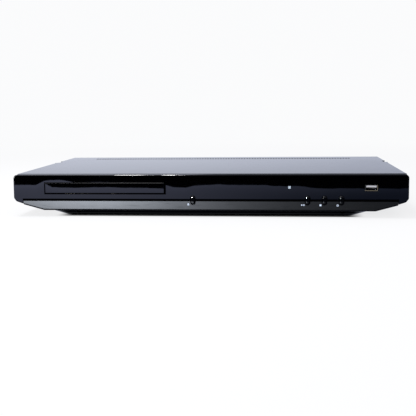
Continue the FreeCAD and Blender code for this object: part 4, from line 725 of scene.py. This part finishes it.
def makeFloor():
    shape = bmesh.new()
    side, front, rear = stage["sideEdge"], stage["frontEdge"], stage["farEdge"]
    corners = ((-side, front), (side, front), (side, rear), (-side, rear))
    shape.faces.new([shape.verts.new((x, y, 0)) for x, y in corners])
    mesh = closeMesh(shape, "floor")
    floor = bpy.data.objects.new("floor", mesh)
    bpy.context.scene.collection.objects.link(floor)
    material, tree = newMaterial("paleFloor")
    material.cycles.emission_sampling = "NONE"
    mesh.materials.append(material)
    x, y = tree.axis("X"), tree.axis("Y")

    half, front, rear = stage["footHalf"], stage["footFront"], stage["footRear"]
    # Under the player's footprint the glow is taken away: a painted shadow.
    paintedShadow = x.calc("ABSOLUTE").step(*(half + edge for edge in stage["sideFade"]))
    paintedShadow = paintedShadow * y.step(*(front + edge for edge in stage["frontFade"]))
    paintedShadow = paintedShadow * y.step(*(rear + edge for edge in stage["rearFade"]))
    far = (x * x + y * y).calc("SQRT").step(*stage["fade"])
    glow = tree.node("ShaderNodeEmission", {},
                     {"Color": backdrop, "Strength": (1.0 - paintedShadow) * stage["floorGlow"]})
    pale = stage["floorMatt"]
    dim = tree.node("ShaderNodeBsdfDiffuse", {}, {"Color": colour(pale, pale, pale * 1.02)})
    near = tree.node("ShaderNodeAddShader", {}, {0: dim, 1: glow})
    plain = tree.node("ShaderNodeEmission", {}, {"Color": backdrop, "Strength": 1.0})
    shown = tree.node("ShaderNodeMixShader", {}, {0: far, 1: near, 2: plain})

    # In reflections the floor ahead of the player is brighter on its left, a painted pool of light, and dark
    # close to its front and under the player, a painted shadow.
    ahead = front - y
    across = (x / (y.calc("ABSOLUTE") + stage["acrossBase"])).step(*stage["acrossFrom"])
    distant = tree.blend(across, colour(*stage["frontLeft"]), colour(*stage["frontRight"]))
    kept = stage["nearFall"] + ahead.step(*stage["nearReach"]) * (1.0 - stage["nearFall"])
    shade = tree.node("ShaderNodeCombineXYZ", {}, {0: kept, 1: kept, 2: kept})
    distant = tree.node("ShaderNodeMix", {"data_type": "RGBA", "blend_type": "MULTIPLY"},
                        {0: 1.0, 6: distant, 7: shade}, out=2)
    forward = tree.blend(ahead.step(*stage["farReach"]), colour(*stage["paintedNearShadow"]), distant)
    behind = tree.blend(x.step(*stage["floorBackFrom"]), colour(*stage["backLeft"]),
                        colour(*stage["backRight"]))
    behind = tree.blend(paintedShadow, behind, colour(0, 0, 0))
    around = tree.blend(y.step(*(front + edge for edge in stage["mirrorFade"])), forward, behind)
    mirrored = tree.node("ShaderNodeEmission", {}, {"Color": around})

    matt = tree.node("ShaderNodeBsdfDiffuse", {}, {"Color": colour(*stage["floorBounce"])})
    seen = tree.node("ShaderNodeMixShader", {}, {0: tree.ray("Camera"), 1: matt, 2: shown})
    surface = tree.node("ShaderNodeMixShader", {}, {0: tree.ray("Glossy"), 1: seen, 2: mirrored})
    tree.node("ShaderNodeOutputMaterial", {}, {"Surface": surface})


def makeWorld():
    world = bpy.data.worlds.new("studio")
    bpy.context.scene.world = world
    world.use_nodes = True
    world.cycles.sampling_method = "NONE"
    tree = Tree(world.node_tree)
    spot = tree.node("ShaderNodeTexCoord", out="Generated")
    x, y, z = (tree.node("ShaderNodeSeparateXYZ", {}, {0: spot}, out=name) for name in "XYZ")
    behind = tree.blend(x.step(*stage["skyBackFrom"]), colour(*stage["backLeft"]),
                        colour(*stage["backRight"]))
    behind = tree.blend(z.step(0.0, stage["riseTo"]) * stage["riseMost"], behind, colour(*stage["topSky"]))
    ahead = tree.blend(z.step(*stage["frontRise"]), colour(*stage["dark"]), colour(*stage["frontSky"]))
    around = tree.blend(y.step(*stage["turnsAt"]), ahead, behind)
    seen = tree.blend(tree.ray("Camera"), colour(*stage["fill"]), backdrop)
    seen = tree.blend(tree.ray("Glossy"), seen, around)
    seen = tree.blend(tree.ray("Transmission"), seen, backdrop)
    glow = tree.node("ShaderNodeBackground", {}, {"Color": seen, "Strength": 1.0})
    tree.node("ShaderNodeOutputWorld", {}, {"Surface": glow})


# Places and sizes in metres. A lamp with "only" is a glint in the shine of the pieces it names.
lamps = {
    "overheadBox": {"at": (-0.36, -0.15, 1.15), "aim": (-0.1, 0, 0), "size": (0.62, 0.34), "watts": 5.0},
    "lowLeftBox": {"at": (-1.15, -1.25, 0.28), "aim": (-0.1, -0.12, 0.02), "size": (0.6, 0.35),
                   "watts": 16.0},
    "farStrip": {"at": (-0.67, -2.0, 0.17), "aim": (-0.1, -0.12, 0.02), "size": (0.28, 0.11),
                 "watts": 158.0, "tint": (0.93, 1.0, 1.12),
                 "only": ("front_frame", "eject_button", "play_button", "stop_button", "power_button",
                          "usb_shell", "usb_contacts")},
    "tallWindow": {"at": (-0.3715, -0.8, 1.03), "aim": (-0.09, -0.12, 0.046), "size": (0.069, 0.3),
                   "watts": 8.0, "only": ("gloss_panel",)},
    "slimWindow": {"at": (-0.2525, -0.8, 1.03), "aim": (-0.046, -0.12, 0.046), "size": (0.027, 0.3),
                   "watts": 3.6, "only": ("gloss_panel",)},
}


def makeLamps():
    for name, values in lamps.items():
        light = bpy.data.lights.new(name, "AREA")
        light.shape = "RECTANGLE"
        light.size, light.size_y = values["size"]
        light.energy = values["watts"]
        light.color = values.get("tint", (1, 1, 1))
        lamp = bpy.data.objects.new(name, light)
        bpy.context.scene.collection.objects.link(lamp)
        lamp.location = values["at"]
        away = Vector(values["at"]) - Vector(values["aim"])
        lamp.rotation_euler = away.to_track_quat("Z", "Y").to_euler()
        lamp.visible_camera = False
        if "only" in values:
            lamp.visible_diffuse = False
            pieces = bpy.data.collections.new(name + "Pieces")
            for node in values["only"]:
                pieces.objects.link(nodes[node])
            lamp.light_linking.receiver_collection = pieces


# Focal length and picture in pixels, angles in radians, the place in millimetres.
camera = {"focal": 680.0, "picture": 416.0, "yaw": 0.104923, "pitch": 0.156801, "roll": -0.0125857,
          "sensor": 36.0, "at": (79.16, -845.29, 126.04)}


def makeCamera():
    yaw, pitch, roll = camera["yaw"], camera["pitch"], camera["roll"]
    ahead = Vector((-math.sin(yaw) * math.cos(pitch), math.cos(yaw) * math.cos(pitch), -math.sin(pitch)))
    right = Vector((math.cos(yaw), math.sin(yaw), 0))
    up = right.cross(ahead)
    turnedRight = right * math.cos(roll) + up * math.sin(roll)
    turnedUp = up * math.cos(roll) - right * math.sin(roll)
    view = bpy.data.cameras.new("camera")
    view.sensor_width = camera["sensor"]
    view.lens = camera["focal"] / camera["picture"] * view.sensor_width
    view.clip_start = 0.01
    eye = bpy.data.objects.new("camera", view)
    bpy.context.scene.collection.objects.link(eye)
    turn = Matrix((turnedRight, turnedUp, -ahead)).transposed()
    eye.matrix_world = Matrix.Translation(Vector(camera["at"]) * mm) @ turn.to_4x4()
    bpy.context.scene.camera = eye


makeFloor()
makeWorld()
makeLamps()
makeCamera()
bpy.context.scene.view_settings.view_transform = "Standard"
print("stage made")
